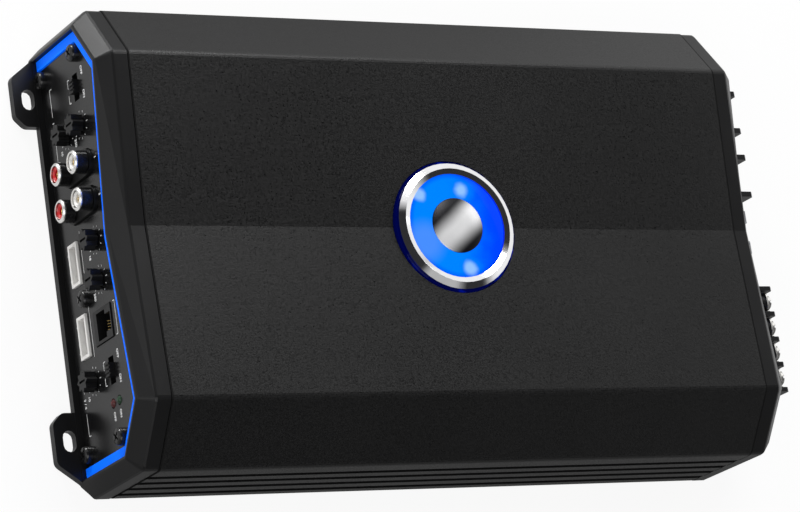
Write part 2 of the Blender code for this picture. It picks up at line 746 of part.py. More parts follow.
def build_trim(name, axes):
    """Coloured strip that lies in the panel's rebate."""
    strip = slab(name, [trim_outline(FIT, 0.0)], TRIM_BACK, TRIM_FACE)
    place(name, strip, BLUE_TRIM, axes)


# Emblem

def build_emblem():
    """Blue lens on the case top under a chrome ring, with a plain chrome cap at its middle."""
    lens_radius = RING_BORE_RADIUS - FIT
    cap_bore = CAP_RADIUS + FIT
    lens_points = [
        (0.0, CAP_FLOOR),
        (cap_bore, CAP_FLOOR),
        (cap_bore, LENS_EDGE + LENS_DOME),
        ((cap_bore + lens_radius) / 2, LENS_EDGE + LENS_DOME * 0.75),
        (lens_radius, LENS_EDGE),
        (lens_radius, EMBLEM_SURFACE),
        (EMBLEM_RADIUS, EMBLEM_SURFACE),
        (EMBLEM_RADIUS, LENS_BASE),
        (0.0, LENS_BASE),
    ]
    place("emblem_lens", turned("emblem_lens", lens_points, EMBLEM_STEPS), BLUE_LENS)
    ring_points = [
        (RING_RIDGE_RADIUS, RING_TOP),
        (RING_RADIUS, RING_BASE + RING_EDGE),
        (RING_RADIUS, RING_BASE),
        (RING_BORE_RADIUS, RING_BASE),
        (RING_BORE_RADIUS, RING_TOP - RING_INNER_DROP),
    ]
    place("emblem_ring", turned("emblem_ring", ring_points, EMBLEM_STEPS, True), CHROME)
    cap_base = CAP_FLOOR + FIT
    cap_edge = cap_base + CAP_THICKNESS
    cap_points = [
        (0.0, cap_edge + CAP_DOME),
        (CAP_RADIUS * 0.5, cap_edge + CAP_DOME * 0.75),
        (CAP_RADIUS * 0.94, cap_edge),
        (CAP_RADIUS, cap_edge - CAP_RADIUS * 0.03),
        (CAP_RADIUS, cap_base),
        (0.0, cap_base),
    ]
    place("emblem_cap", turned("emblem_cap", cap_points, EMBLEM_STEPS), CHROME)


# Control end

def lobed_outline():
    """Grip of a knob: lobes round a circle."""
    steps = KNOB_LOBES * KNOB_LOBE_STEPS
    points = []
    for step in range(steps):
        turn = 2 * math.pi * step / steps
        reach = KNOB_RADIUS + KNOB_LOBE_HEIGHT * math.cos(KNOB_LOBES * turn)
        points.append((reach * math.cos(turn), reach * math.sin(turn)))
    return points


def build_knob(name, place_on_panel, axes):
    """Lobed knob on a shaft that turns in its potentiometer behind the panel."""
    y, z = place_on_panel
    hub = (PANEL_FACE, y, z)
    grip = slab(f"{name}_knob", [lobed_outline()], KNOB_LIFT, KNOB_LIFT + KNOB_LENGTH)
    knob = place(f"{name}_knob", grip, BLACK_PLASTIC, axes, hub)
    pot_face = -PANEL_THICKNESS - FIT
    shaft_end = pot_face - POT_BORE_DEPTH + FIT
    shaft = slab(f"{name}_shaft", [circle(SHAFT_RADIUS, SHAFT_STEPS)], shaft_end,
                 KNOB_LIFT + KNOB_LENGTH / 2)
    combine(knob, place_tool(f"{name}_shaft", shaft, axes, hub), "UNION")
    tip = KNOB_LIFT + KNOB_LENGTH
    notch = slab(f"{name}_notch", [rectangle(KNOB_SLOT_WIDTH, KNOB_SLOT_LENGTH)],
                 tip - KNOB_SLOT_DEPTH, tip + OVERSHOOT)
    combine(knob, place_tool(f"{name}_notch", notch, axes, hub), "DIFFERENCE")
    body = slab(f"{name}_pot", [rectangle(POT_WIDTH, POT_WIDTH)], pot_face - POT_DEPTH, pot_face)
    pot = place(f"{name}_pot", body, ZINC_STEEL, axes, hub)
    bore = slab(f"{name}_bore", [circle(SHAFT_RADIUS + FIT, SHAFT_STEPS)],
                pot_face - POT_BORE_DEPTH, pot_face + OVERSHOOT)
    combine(pot, place_tool(f"{name}_bore", bore, axes, hub), "DIFFERENCE")


def lever_opening():
    """Length and height of the slot that a slide switch moves in."""
    return (grown(LEVER_LENGTH + 2 * LEVER_TRAVEL), grown(LEVER_WIDTH, LEVER_SIDE_GAP))


def build_slide_switch(name, place_on_panel, axes):
    """Ridged lever in a slot of the panel, in front of its switch."""
    y, z = place_on_panel
    hub = (PANEL_FACE, y, z)
    switch_face = -PANEL_THICKNESS - FIT
    ridge_pitch = LEVER_LENGTH / (2 * LEVER_RIDGES - 1)
    half = LEVER_LENGTH / 2
    outline = [(switch_face + FIT, half), (switch_face + FIT, -half)]
    for index in range(LEVER_RIDGES):
        low = -half + 2 * index * ridge_pitch
        high = low + ridge_pitch
        valley = LEVER_PROUD - LEVER_RIDGE_DEPTH
        if index > 0:
            outline.append((valley, low))
        outline += [(LEVER_PROUD, low), (LEVER_PROUD, high)]
        if index < LEVER_RIDGES - 1:
            outline.append((valley, high))
    lever = slab(f"{name}_lever", [outline], -LEVER_WIDTH / 2, LEVER_WIDTH / 2, "Z")
    place(f"{name}_lever", lever, BLACK_PLASTIC, axes, hub)
    length, height = lever_opening()
    body = [rectangle(length + 2 * SWITCH_MARGIN, height + 2 * SWITCH_MARGIN)]
    switch = slab(f"{name}_switch", body, switch_face - SWITCH_DEPTH, switch_face)
    place(f"{name}_switch", switch, ZINC_STEEL, axes, hub)


def flange_outline(clearance=0.0):
    """Round-ended flange of an input block, about its middle."""
    return stadium(FLANGE_RADIUS + clearance, JACK_PITCH, JACK_STEPS // 2)


def build_input_pair(name, place_on_panel, axes):
    """Two phono jacks, one above the other, on one insulating block."""
    y, z = place_on_panel
    hub = (PANEL_FACE, y, z)
    back = -PANEL_THICKNESS - FIT
    outline = rectangle(INPUT_BLOCK_WIDTH, JACK_PITCH + 2 * INPUT_BLOCK_MARGIN)
    body = slab(f"{name}_input_block", [outline], back - INPUT_BLOCK_DEPTH, back)
    body = place(f"{name}_input_block", body, BLACK_PLASTIC, axes, hub)
    flange = slab(f"{name}_flange", [flange_outline()], back - INPUT_BLOCK_DEPTH / 2, FLANGE_PROUD)
    combine(body, place_tool(f"{name}_flange", flange, axes, hub), "UNION")
    base = FLANGE_PROUD + FIT
    sleeve_tip = base + SLEEVE_LENGTH
    bore = SLEEVE_RADIUS - SLEEVE_WALL
    insert_radius = bore - FIT
    insert_tip = sleeve_tip - INSERT_SINK
    sleeve_points = [
        (SLEEVE_RADIUS - SLEEVE_EDGE, sleeve_tip),
        (SLEEVE_RADIUS, sleeve_tip - SLEEVE_EDGE),
        (SLEEVE_RADIUS, base),
        (bore, base),
        (bore, sleeve_tip),
    ]
    insert_points = [
        (insert_radius, insert_tip),
        (insert_radius, base),
        (INSERT_BORE_RADIUS, base),
        (INSERT_BORE_RADIUS, insert_tip - INSERT_FLARE),
        (INSERT_BORE_RADIUS + INSERT_FLARE, insert_tip),
    ]
    for channel, row in JACK_ROWS.items():
        label = f"{name}_{channel}"
        seat = (PANEL_FACE, y, z + row * JACK_PITCH / 2)
        sleeve = turned(f"{label}_sleeve", sleeve_points, JACK_STEPS, True)
        place(f"{label}_sleeve", sleeve, NICKEL, axes, seat, OUTWARD)
        colour = RED_PLASTIC if channel == "right" else WHITE_PLASTIC
        insert = turned(f"{label}_insert", insert_points, JACK_STEPS, True)
        place(f"{label}_insert", insert, colour, axes, seat, OUTWARD)


def build_socket(name, place_on_panel, axes):
    """White four-pin socket for speaker-level input."""
    y, z = place_on_panel
    hub = (PANEL_FACE, y, z)
    low = SOCKET_PROUD - SOCKET_POCKET - SOCKET_FLOOR
    body = slab(name, [rectangle(SOCKET_LENGTH, SOCKET_HEIGHT)], low, SOCKET_PROUD)
    socket = place(name, body, WHITE_PLASTIC, axes, hub)
    mouth = rectangle(SOCKET_LENGTH - 2 * SOCKET_WALL, SOCKET_HEIGHT - 2 * SOCKET_WALL)
    pocket = slab(f"{name}_pocket", [mouth], low + SOCKET_FLOOR, SOCKET_PROUD + OVERSHOOT)
    combine(socket, place_tool(f"{name}_pocket", pocket, axes, hub), "DIFFERENCE")


def build_modular_jack(name, axes):
    """Jack for a remote level control, with a stepped mouth for the plug and its latch."""
    hub = (PANEL_FACE, *MODULAR_PLACE)
    low = MODULAR_PROUD - MODULAR_POCKET - MODULAR_FLOOR
    body = slab(name, [rectangle(MODULAR_WIDTH, MODULAR_HEIGHT)], low, MODULAR_PROUD)
    jack = place(name, body, BLACK_PLASTIC, axes, hub)
    half = MODULAR_MOUTH_WIDTH / 2
    latch = MODULAR_LATCH_WIDTH / 2
    top = (MODULAR_MOUTH_HEIGHT + MODULAR_LATCH_HEIGHT) / 2
    step = MODULAR_MOUTH_HEIGHT - top
    right = [(half, -top), (half, step), (latch, step), (latch, top)]
    right = [(y, z + MODULAR_MOUTH_LIFT) for y, z in right]
    mouth = right + [(-y, z) for y, z in reversed(right)]
    pocket = slab(f"{name}_mouth", [mouth], low + MODULAR_FLOOR, MODULAR_PROUD + OVERSHOOT)
    combine(jack, place_tool(f"{name}_mouth", pocket, axes, hub), "DIFFERENCE")


def build_lamp(name, place_on_panel, axes):
    """Small domed indicator lamp."""
    y, z = place_on_panel
    neck = LAMP_PROUD - LAMP_RADIUS * 0.6
    points = [
        (0.0, LAMP_PROUD),
        (LAMP_RADIUS * 0.6, LAMP_PROUD - LAMP_RADIUS * 0.15),
        (LAMP_RADIUS, neck),
        (LAMP_RADIUS, -PANEL_THICKNESS - LAMP_TAIL),
        (0.0, -PANEL_THICKNESS - LAMP_TAIL),
    ]
    colour = GREEN_LAMP if name.startswith("power") else RED_LAMP
    hub = (PANEL_FACE, y, z)
    place(name, turned(name, points, LAMP_STEPS), colour, axes, hub, OUTWARD)


def control_holes():
    """Openings of the control panel."""
    holes = [circle(SHAFT_RADIUS + FIT, SHAFT_STEPS, spot) for spot in KNOB_PLACES.values()]
    holes += [rectangle(*lever_opening(), spot) for spot in SWITCH_PLACES.values()]
    for middle in JACK_PLACES.values():
        holes.append([(middle[0] + y, middle[1] + z) for y, z in flange_outline(FIT)])
    for spot in SOCKET_PLACES.values():
        holes.append(rectangle(grown(SOCKET_LENGTH), grown(SOCKET_HEIGHT), spot))
    holes.append(rectangle(grown(MODULAR_WIDTH), grown(MODULAR_HEIGHT), MODULAR_PLACE))
    holes += [circle(LAMP_RADIUS + FIT, LAMP_STEPS, spot) for spot in LAMP_PLACES.values()]
    return holes


def build_control_end():
    """Frame, panel and controls at -X."""
    axes = end_axes("control_end", math.pi)
    build_end_frame("control_end_frame", axes)
    build_panel("control_panel", axes, control_holes())
    build_trim("control_trim", axes)
    for name, spot in KNOB_PLACES.items():
        build_knob(name, spot, axes)
    for name, spot in SWITCH_PLACES.items():
        build_slide_switch(name, spot, axes)
    for name, spot in JACK_PLACES.items():
        build_input_pair(name, spot, axes)
    for name, spot in SOCKET_PLACES.items():
        build_socket(f"{name}_speaker_socket", spot, axes)
    build_modular_jack("remote_jack", axes)
    for name, spot in LAMP_PLACES.items():
        build_lamp(name, spot, axes)


# Terminal end

def fin_places(start, cells):
    """Middles of the fins that part a row of cells."""
    places = [start]
    for cell in cells:
        places.append(places[-1] + cell)
    return places


def block_span(start, cells, fin):
    """Width of a terminal block and its middle."""
    places = fin_places(start, cells)
    return places[-1] - places[0] + fin, (places[0] + places[-1]) / 2


def build_terminal_block(name, start, cells, fin, tip, axes):
    """Comb of upright fins on a base that passes through the panel."""
    places = fin_places(start, cells)
    half = fin / 2
    back = PANEL_BACK - BLOCK_TAIL
    outline = [(back, places[-1] + half), (back, places[0] - half)]
    for index, middle in enumerate(places):
        if index > 0:
            outline.append((CELL_FLOOR, middle - half))
        outline += [(tip, middle - half), (tip, middle + half)]
        if index < len(places) - 1:
            outline.append((CELL_FLOOR, middle + half))
    comb = place(name, slab(name, [outline], BLOCK_LOW, BLOCK_HIGH, "Z"), BLACK_PLASTIC, axes)
    width, middle = block_span(start, cells, fin)
    reach = width / 2 + OVERSHOOT
    for label, edge, up in (("top", BLOCK_HIGH, 1), ("bottom", BLOCK_LOW, -1)):
        far = tip + OVERSHOOT
        chamfer = [
            (tip - FIN_NOSE - OVERSHOOT, edge + up * OVERSHOOT),
            (far, edge + up * OVERSHOOT),
            (far, edge - up * (FIN_NOSE + OVERSHOOT)),
        ]
        wedge = slab(f"{name}_{label}", [chamfer], middle - reach, middle + reach, "Y")
        combine(comb, place_tool(f"{name}_{label}", wedge, axes), "DIFFERENCE")
    return comb


def build_terminal_screw(name, hub, head_radius, head_height, shank_radius, comb, axes):
    """Slotted clamp screw, with its post and bore in the terminal block."""
    tip = SCREW_LIFT + head_height
    points = [
        (0.0, tip),
        (head_radius * 0.8, tip),
        (head_radius, tip - head_radius * 0.2),
        (head_radius, SCREW_LIFT),
        (shank_radius, SCREW_LIFT),
        (shank_radius, -SHANK_LENGTH),
        (0.0, -SHANK_LENGTH),
    ]
    screw = place(name, turned(name, points, SCREW_STEPS), NICKEL, axes, hub, OUTWARD)
    notch = slab(f"{name}_notch", [rectangle(2 * head_radius + OVERSHOOT, DRIVE_SLOT_WIDTH)],
                 tip - DRIVE_SLOT_DEPTH, tip + OVERSHOOT, "Z")
    combine(screw, place_tool(f"{name}_notch", notch, axes, hub, OUTWARD), "DIFFERENCE")
    post = slab(f"{name}_post", [circle(head_radius + POST_MARGIN, SCREW_STEPS)],
                PANEL_FACE - hub[0], 0.0)
    combine(comb, place_tool(f"{name}_post", post, axes, hub), "UNION")
    bore = slab(f"{name}_bore", [circle(shank_radius + FIT, SCREW_STEPS)], -SHANK_LENGTH - FIT,
                OVERSHOOT)
    combine(comb, place_tool(f"{name}_bore", bore, axes, hub), "DIFFERENCE")


def build_power_terminals(axes):
    """Ground, remote and supply terminals."""
    comb = build_terminal_block("power_block", POWER_START, POWER_CELLS, POWER_FIN, POWER_TIP, axes)
    places = fin_places(POWER_START, POWER_CELLS)
    for name, low, high in zip(("supply", "remote", "ground"), places, places[1:]):
        hub = (CELL_FLOOR + POWER_POST, (low + high) / 2, POWER_ROW)
        build_terminal_screw(f"{name}_screw", hub, POWER_HEAD_RADIUS, POWER_HEAD_HEIGHT,
                             POWER_SHANK_RADIUS, comb, axes)


def build_speaker_terminals(axes):
    """Two rows of speaker terminals, with a shelf between the rows."""
    comb = build_terminal_block("speaker_block", SPEAKER_START, SPEAKER_CELLS, SPEAKER_FIN,
                                SPEAKER_TIP, axes)
    width, middle = block_span(SPEAKER_START, SPEAKER_CELLS, SPEAKER_FIN)
    half = (width - SPEAKER_FIN) / 2
    shelf = block("speaker_shelf", (PANEL_FACE, middle - half, BLOCK_MIDDLE - SPEAKER_FIN / 2),
                  (SPEAKER_TIP - FIN_NOSE, middle + half, BLOCK_MIDDLE + SPEAKER_FIN / 2))
    combine(comb, place_tool("speaker_shelf", shelf, axes), "UNION")
    places = fin_places(SPEAKER_START, SPEAKER_CELLS)
    for row, height in SPEAKER_ROW_PLACES.items():
        for column, (low, high) in enumerate(zip(places, places[1:]), start=1):
            hub = (CELL_FLOOR + SPEAKER_POST, (low + high) / 2, height)
            build_terminal_screw(f"speaker_{row}_screw_{column}", hub, SPEAKER_HEAD_RADIUS,
                                 SPEAKER_HEAD_HEIGHT, SPEAKER_SHANK_RADIUS, comb, axes)


def build_fuses(axes):
    """Holder with two seats, and a blade fuse that pulls out of each."""
    seat_floor = HOLDER_FACE - FUSE_SEAT - FIT
    blade_floor = HOLDER_FACE - FUSE_SEAT - BLADE_LENGTH - FIT
    body = slab("fuse_holder", [rectangle(HOLDER_WIDTH, HOLDER_HEIGHT, FUSE_MIDDLE)],
                blade_floor - HOLDER_FLOOR, HOLDER_FACE)
    holder = place("fuse_holder", body, BLACK_PLASTIC, axes)
    for label, side in (("left", -1), ("right", 1)):
        hub = (0.0, FUSE_MIDDLE[0] + side * FUSE_PITCH / 2, FUSE_MIDDLE[1])
        name = f"{label}_fuse"
        seat = slab(f"{name}_seat", [rectangle(grown(FUSE_WIDTH), grown(FUSE_LENGTH))], seat_floor,
                    HOLDER_FACE + OVERSHOOT)
        combine(holder, place_tool(f"{name}_seat", seat, axes, hub), "DIFFERENCE")
        head = PANEL_FACE + FUSE_REACH
        low = HOLDER_FACE - FUSE_SEAT
        half = FUSE_LENGTH / 2
        waist = half - FUSE_SHOULDER
        right = [(low, waist), (head - FUSE_HEAD, waist), (head - FUSE_HEAD, half), (head, half)]
        outline = right + [(x, -z) for x, z in reversed(right)]
        shape = slab(name, [outline], -FUSE_WIDTH / 2, FUSE_WIDTH / 2, "Y")
        fuse = place(name, shape, CLEAR_FUSE, axes, hub)
        for end, turn in (("upper", 1), ("lower", -1)):
            spot = (0.0, turn * BLADE_SPREAD / 2)
            mouth = rectangle(grown(BLADE_THICKNESS), grown(BLADE_WIDTH), spot)
            way = slab(f"{name}_{end}_way", [mouth], blade_floor, seat_floor + OVERSHOOT)
            combine(holder, place_tool(f"{name}_{end}_way", way, axes, hub), "DIFFERENCE")
            blade = slab(f"{name}_{end}_blade", [rectangle(BLADE_THICKNESS, BLADE_WIDTH, spot)],
                         low - BLADE_LENGTH, low + OVERSHOOT)
            combine(fuse, place_tool(f"{name}_{end}_blade", blade, axes, hub), "UNION")


def terminal_holes():
    """Openings of the terminal panel."""
    holes = []
    for start, cells, fin in ((POWER_START, POWER_CELLS, POWER_FIN),
                              (SPEAKER_START, SPEAKER_CELLS, SPEAKER_FIN)):
        width, middle = block_span(start, cells, fin)
        holes.append(rectangle(grown(width), grown(BLOCK_HEIGHT), (middle, BLOCK_MIDDLE)))
    holes.append(rectangle(grown(HOLDER_WIDTH), grown(HOLDER_HEIGHT), FUSE_MIDDLE))
    return holes


def build_terminal_end():
    """Frame, panel, terminals and fuses at +X."""
    axes = end_axes("terminal_end", 0.0)
    build_end_frame("terminal_end_frame", axes)
    build_panel("terminal_panel", axes, terminal_holes())
    build_trim("terminal_trim", axes)
    build_power_terminals(axes)
    build_speaker_terminals(axes)
    build_fuses(axes)


# Inside the case

def build_inside():
    """Circuit board with its storage capacitors, the supply coil and the clamped transistor rows."""
    end = CASE_END - BOARD_SETBACK
    side = INNER_HALF + BOARD_BITE
    board = slab("circuit_board", [rectangle(2 * end, 2 * side)], BOARD_BASE, BOARD_TOP, "Z")
    board = place("circuit_board", board, BOARD_GREEN)
    for index in range(CAN_COUNT):
        spot = (CAN_PLACE, (index - (CAN_COUNT - 1) / 2) * CAN_PITCH)
        can = slab(f"capacitor_{index + 1}", [circle(CAN_RADIUS, CAN_STEPS, spot)],
                   BOARD_TOP - BOARD_THICKNESS / 2, BOARD_TOP + CAN_HEIGHT, "Z")
        combine(board, place_tool(f"capacitor_{index + 1}", can), "UNION")
    bpy.ops.mesh.primitive_torus_add(major_radius=COIL_RADIUS, minor_radius=COIL_WIRE_RADIUS,
                                     major_segments=COIL_STEPS, minor_segments=COIL_SIDES)
    coil = bpy.context.object.data
    bpy.data.objects.remove(bpy.context.object)
    place("supply_coil", coil, COPPER_WIRE, None, (COIL_PLACE, 0, BOARD_TOP + FIT + COIL_WIRE_RADIUS))
    for label, turn in (("far", 0.0), ("near", math.pi)):
        wall = INNER_HALF - FIT
        inside = wall - PACKAGE_THICKNESS
        reach = ((PACKAGE_COUNT - 1) * PACKAGE_PITCH + PACKAGE_WIDTH) / 2
        outline = [(reach, inside - CLAMP_THICKNESS), (-reach, inside - CLAMP_THICKNESS)]
        for index in range(PACKAGE_COUNT):
            left = -reach + index * PACKAGE_PITCH
            right = left + PACKAGE_WIDTH
            outline += [(left, inside), (left, wall), (right, wall), (right, inside)]
        name = f"{label}_transistor_row"
        row = slab(name, [outline], BOARD_TOP + FIT, BOARD_TOP + FIT + PACKAGE_HEIGHT, "Z")
        place(name, row, BLACK_PLASTIC, None, (0, 0, 0), (0, 0, turn))


build_case()
build_emblem()
build_control_end()
build_terminal_end()
build_inside()
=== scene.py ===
"""Studio scene of a car amplifier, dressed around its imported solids.

Lengths are in metres, in the frame of the solids: X runs along the case from the controls to the wire
terminals, +Z is up, and the feet stand on Z = 0.  The pieces of an end are shaped in that end's own axes:
+X points out of the panel, +Y to the right of a person who faces it, and +Z up.
"""

import itertools
import logging
import math
import operator
from collections.abc import Iterable, Mapping, Sequence
from dataclasses import dataclass
from enum import Enum
from functools import reduce

import bmesh
import bpy
from mathutils import Matrix, Vector


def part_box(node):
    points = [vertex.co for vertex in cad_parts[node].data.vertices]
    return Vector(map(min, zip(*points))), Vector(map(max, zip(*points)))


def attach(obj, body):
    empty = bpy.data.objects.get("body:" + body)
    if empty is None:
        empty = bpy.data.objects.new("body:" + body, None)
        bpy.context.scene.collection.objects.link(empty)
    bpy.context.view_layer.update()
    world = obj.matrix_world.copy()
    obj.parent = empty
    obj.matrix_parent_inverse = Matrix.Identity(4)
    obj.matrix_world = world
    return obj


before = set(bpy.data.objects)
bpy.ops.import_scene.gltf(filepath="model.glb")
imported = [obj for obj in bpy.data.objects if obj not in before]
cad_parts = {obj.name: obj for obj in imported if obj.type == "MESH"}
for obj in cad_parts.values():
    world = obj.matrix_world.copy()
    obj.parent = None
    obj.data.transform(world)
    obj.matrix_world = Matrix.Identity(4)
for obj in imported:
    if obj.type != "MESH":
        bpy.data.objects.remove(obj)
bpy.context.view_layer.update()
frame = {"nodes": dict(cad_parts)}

LOG = logging.getLogger("amplifier")
MM = 0.001
FULL_TURN = 2 * math.pi
QUARTER_TURN = math.pi / 2
SHARP_ANGLE = math.radians(35)
JOIN_GAP = 0.002 * MM
TYPE_STEPS = 3
TYPE_BOLDNESS = 0.025
TYPE_JOIN_GAP = 0.0001 * MM
SHARPEST_CORNER = 0.5
COLOUR_MIX = {"data_type": "RGBA", "clamp_factor": True}

Colour = tuple[float, float, float]
Place = tuple[float, float, float]
Point = tuple[float, float]

WHITE: Colour = (1.0, 1.0, 1.0)
ORIGIN: Place = (0.0, 0.0, 0.0)
FLAT: Place = (1.0, 1.0, 0.0)


# Shader graphs

class Wire:
    """One shader value; arithmetic on it adds Math nodes."""

    def __init__(self, graph: "Graph", socket: bpy.types.NodeSocket) -> None:
        """Keep an output socket and the graph that it belongs to."""
        self.graph = graph
        self.socket = socket

    def _math(self, operation: str, *values: "Wire | float") -> "Wire":
        """Result of one Math node."""
        return self.graph.add("ShaderNodeMath", {"operation": operation}, dict(enumerate(values)))

    def __add__(self, other: "Wire | float") -> "Wire":
        """Sum of two values."""
        return self._math("ADD", self, other)

    def __sub__(self, other: "Wire | float") -> "Wire":
        """Difference of two values."""
        return self._math("SUBTRACT", self, other)

    def __rsub__(self, other: float) -> "Wire":
        """Difference of a number and a value."""
        return self._math("SUBTRACT", other, self)

    def __mul__(self, other: "Wire | float") -> "Wire":
        """Product of two values."""
        return self._math("MULTIPLY", self, other)

    def __or__(self, other: "Wire | float") -> "Wire":
        """Larger of two values."""
        return self._math("MAXIMUM", self, other)

    def __and__(self, other: "Wire | float") -> "Wire":
        """Smaller of two values."""
        return self._math("MINIMUM", self, other)

    def __abs__(self) -> "Wire":
        """The value without its sign."""
        return self._math("ABSOLUTE", self)

    # The order of the two values makes no difference to these.
    __radd__, __rmul__, __ror__, __rand__ = __add__, __mul__, __or__, __and__

    def step(self, low: float, high: float) -> "Wire":
        """Smooth step from 0 to 1 as the value goes from low to high."""
        inputs = {"Value": self, "From Min": low, "From Max": high}
        return self.graph.add("ShaderNodeMapRange", {"interpolation_type": "SMOOTHSTEP"}, inputs)


class Graph:
    """Node tree of a material, of the world or of a modifier."""

    def __init__(self, tree: bpy.types.NodeTree) -> None:
        """Work on one node tree."""
        self.tree = tree

    def add(
        self,
        kind: str,
        settings: Mapping[str, object] | None = None,
        inputs: Mapping[str | int, object] | None = None,
        output: str | int = 0,
    ) -> Wire:
        """Add any node.

        Args:
            kind: The node's type.
            settings: The node's own settings.
            inputs: Values or wires of its sockets.
            output: The socket to return.

        Returns:
            One of the node's outputs.
        """
        node = self.tree.nodes.new(kind)
        for name, value in (settings or {}).items():
            setattr(node, name, value)
        self.connect(node, inputs or {})
        return Wire(self, node.outputs[output])

    def connect(self, node: bpy.types.Node, inputs: Mapping[str | int, object]) -> None:
        """Set or link a node's sockets.

        Args:
            node: The node.
            inputs: Values or wires of its sockets.
        """
        for key, value in inputs.items():
            if isinstance(value, Wire):
                self.tree.links.new(value.socket, node.inputs[key])
            else:
                node.inputs[key].default_value = value

    def spot(self) -> Wire:
        """Place on the piece, in metres."""
        return self.add("ShaderNodeTexCoord", output="Object")

    def scaled(self, vector: Wire, scale: Place) -> Wire:
        """Vector with each of its parts multiplied."""
        return self.add("ShaderNodeVectorMath", {"operation": "MULTIPLY"}, {0: vector, 1: scale})

    def part(self, vector: Wire, axis: str) -> Wire:
        """One part of a vector, X, Y or Z."""
        return self.add("ShaderNodeSeparateXYZ", None, {0: vector}, axis)

    def along(self, vector: Wire, heading: Place) -> Wire:
        """How far a vector goes in a direction."""
        inputs = {0: vector, 1: heading}
        return self.add("ShaderNodeVectorMath", {"operation": "DOT_PRODUCT"}, inputs, "Value")

    def distance(self, vector: Wire, place: Place) -> Wire:
        """Distance from a fixed place."""
        return self.add("ShaderNodeVectorMath", {"operation": "DISTANCE"}, {0: vector, 1: place}, "Value")

    def noise(self, vector: Wire, size: float, detail: float) -> Wire:
        """Soft noise about 0.5, from the size of its blots and the number of finer layers on them."""
        inputs = {"Vector": vector, "Scale": 1 / size, "Detail": detail}
        return self.add("ShaderNodeTexNoise", None, inputs)

    def blend(self, factor: Wire | float, first: Wire | Colour, second: Wire | Colour) -> Wire:
        """Mix of two colours, the first where the factor is 0 and the second where it is 1."""
        ends = [end if isinstance(end, Wire) else (*end, 1.0) for end in (first, second)]
        return self.add("ShaderNodeMix", COLOUR_MIX, {0: factor, 6: ends[0], 7: ends[1]}, 2)

    def bump(self, height: Wire, strength: float, depth: float) -> Wire:
        """Surface normal of a relief, from the share that shows and the length of one unit of height."""
        inputs = {"Height": height, "Strength": strength, "Distance": depth}
        return self.add("ShaderNodeBump", None, inputs)


def total(values: Iterable[Wire]) -> Wire:
    """Sum of one or more values."""
    return reduce(operator.add, values)


def shade(colour: Colour, factor: float) -> Colour:
    """Colour made darker or lighter."""
    return tuple(min(1.0, part * factor) for part in colour)


def smoothing(ceiling: float) -> bpy.types.NodeTree:
    """Make the node group that joins a solid's loose faces and shades its curved ones smoothly.

    Args:
        ceiling: Height above which every edge stays sharp.

    Returns:
        The group.
    """
    tree = bpy.data.node_groups.new("smoothing", "GeometryNodeTree")
    for way in ("INPUT", "OUTPUT"):
        tree.interface.new_socket("Geometry", in_out=way, socket_type="NodeSocketGeometry")
    graph = Graph(tree)
    loose = graph.add("NodeGroupInput")
    joined = graph.add("GeometryNodeMergeByDistance", None, {"Geometry": loose, "Distance": JOIN_GAP})
    plain = graph.add("GeometryNodeRemoveAttribute", None, {"Geometry": joined, "Name": "custom_normal"})
    angle = graph.add("GeometryNodeInputMeshEdgeAngle", output="Unsigned Angle")
    height = graph.part(graph.add("GeometryNodeInputPosition"), "Z")
    above = graph.add("ShaderNodeMath", {"operation": "GREATER_THAN"}, {0: height, 1: ceiling})
    comparison = {"data_type": "FLOAT", "operation": "LESS_EQUAL"}
    curved = graph.add("FunctionNodeCompare", comparison, {0: angle + above * math.pi, 1: SHARP_ANGLE})
    inputs = {"Geometry": plain, "Shade Smooth": True}
    smooth = graph.add("GeometryNodeSetShadeSmooth", {"domain": "FACE"}, inputs)
    inputs = {"Geometry": smooth, "Shade Smooth": curved}
    creased = graph.add("GeometryNodeSetShadeSmooth", {"domain": "EDGE"}, inputs)
    graph.connect(tree.nodes.new("NodeGroupOutput"), {0: creased})
    return tree


# Layers of a finish

@dataclass(frozen=True, kw_only=True)
class Layer:
    """A value that changes over a surface, and how much it adds to tone, roughness and relief."""

    tone: float = 0.0
    gloss: float = 0.0
    relief: float = 0.0

    def value(self, graph: Graph) -> Wire:
        """Value at each place of the surface."""
        raise NotImplementedError


@dataclass(frozen=True)
class Noise(Layer):
    """Soft noise, which may be stretched, or stepped between two edges."""

    size: float
    detail: float = 2.0
    stretch: Place = (1.0, 1.0, 1.0)
    edges: Point | None = None

    def value(self, graph: Graph) -> Wire:
        """Noise at each place of the surface."""
        noise = graph.noise(graph.scaled(graph.spot(), self.stretch), self.size, self.detail)
        return noise.step(*self.edges) if self.edges else noise


@dataclass(frozen=True)
class Band(Layer):
    """Step with the distance from an upright plane, or from two that mirror each other."""

    heading: Place
    edges: Point
    offset: float = 0.0
    mirrored: bool = False

    def value(self, graph: Graph) -> Wire:
        """Step at each place of the surface."""
        across = graph.along(graph.spot(), self.heading)
        return abs((abs(across) if self.mirrored else across) - self.offset).step(*self.edges)


@dataclass(frozen=True)
class Rise(Layer):
    """Distance outwards from a circle about the upright axis."""

    radius: float

    def value(self, graph: Graph) -> Wire:
        """Distance at each place of the surface, 0 inside the circle."""
        return (graph.distance(graph.scaled(graph.spot(), FLAT), ORIGIN) - self.radius) | 0.0


@dataclass(frozen=True)
class Spangle(Layer):
    """Crystals of a zinc coat, each in one grey."""

    size: float

    def value(self, graph: Graph) -> Wire:
        """Grey of the crystal at each place of the surface."""
        inputs = {"Vector": graph.spot(), "Scale": 1 / self.size}
        return graph.part(graph.add("ShaderNodeTexVoronoi", None, inputs, "Color"), "X")


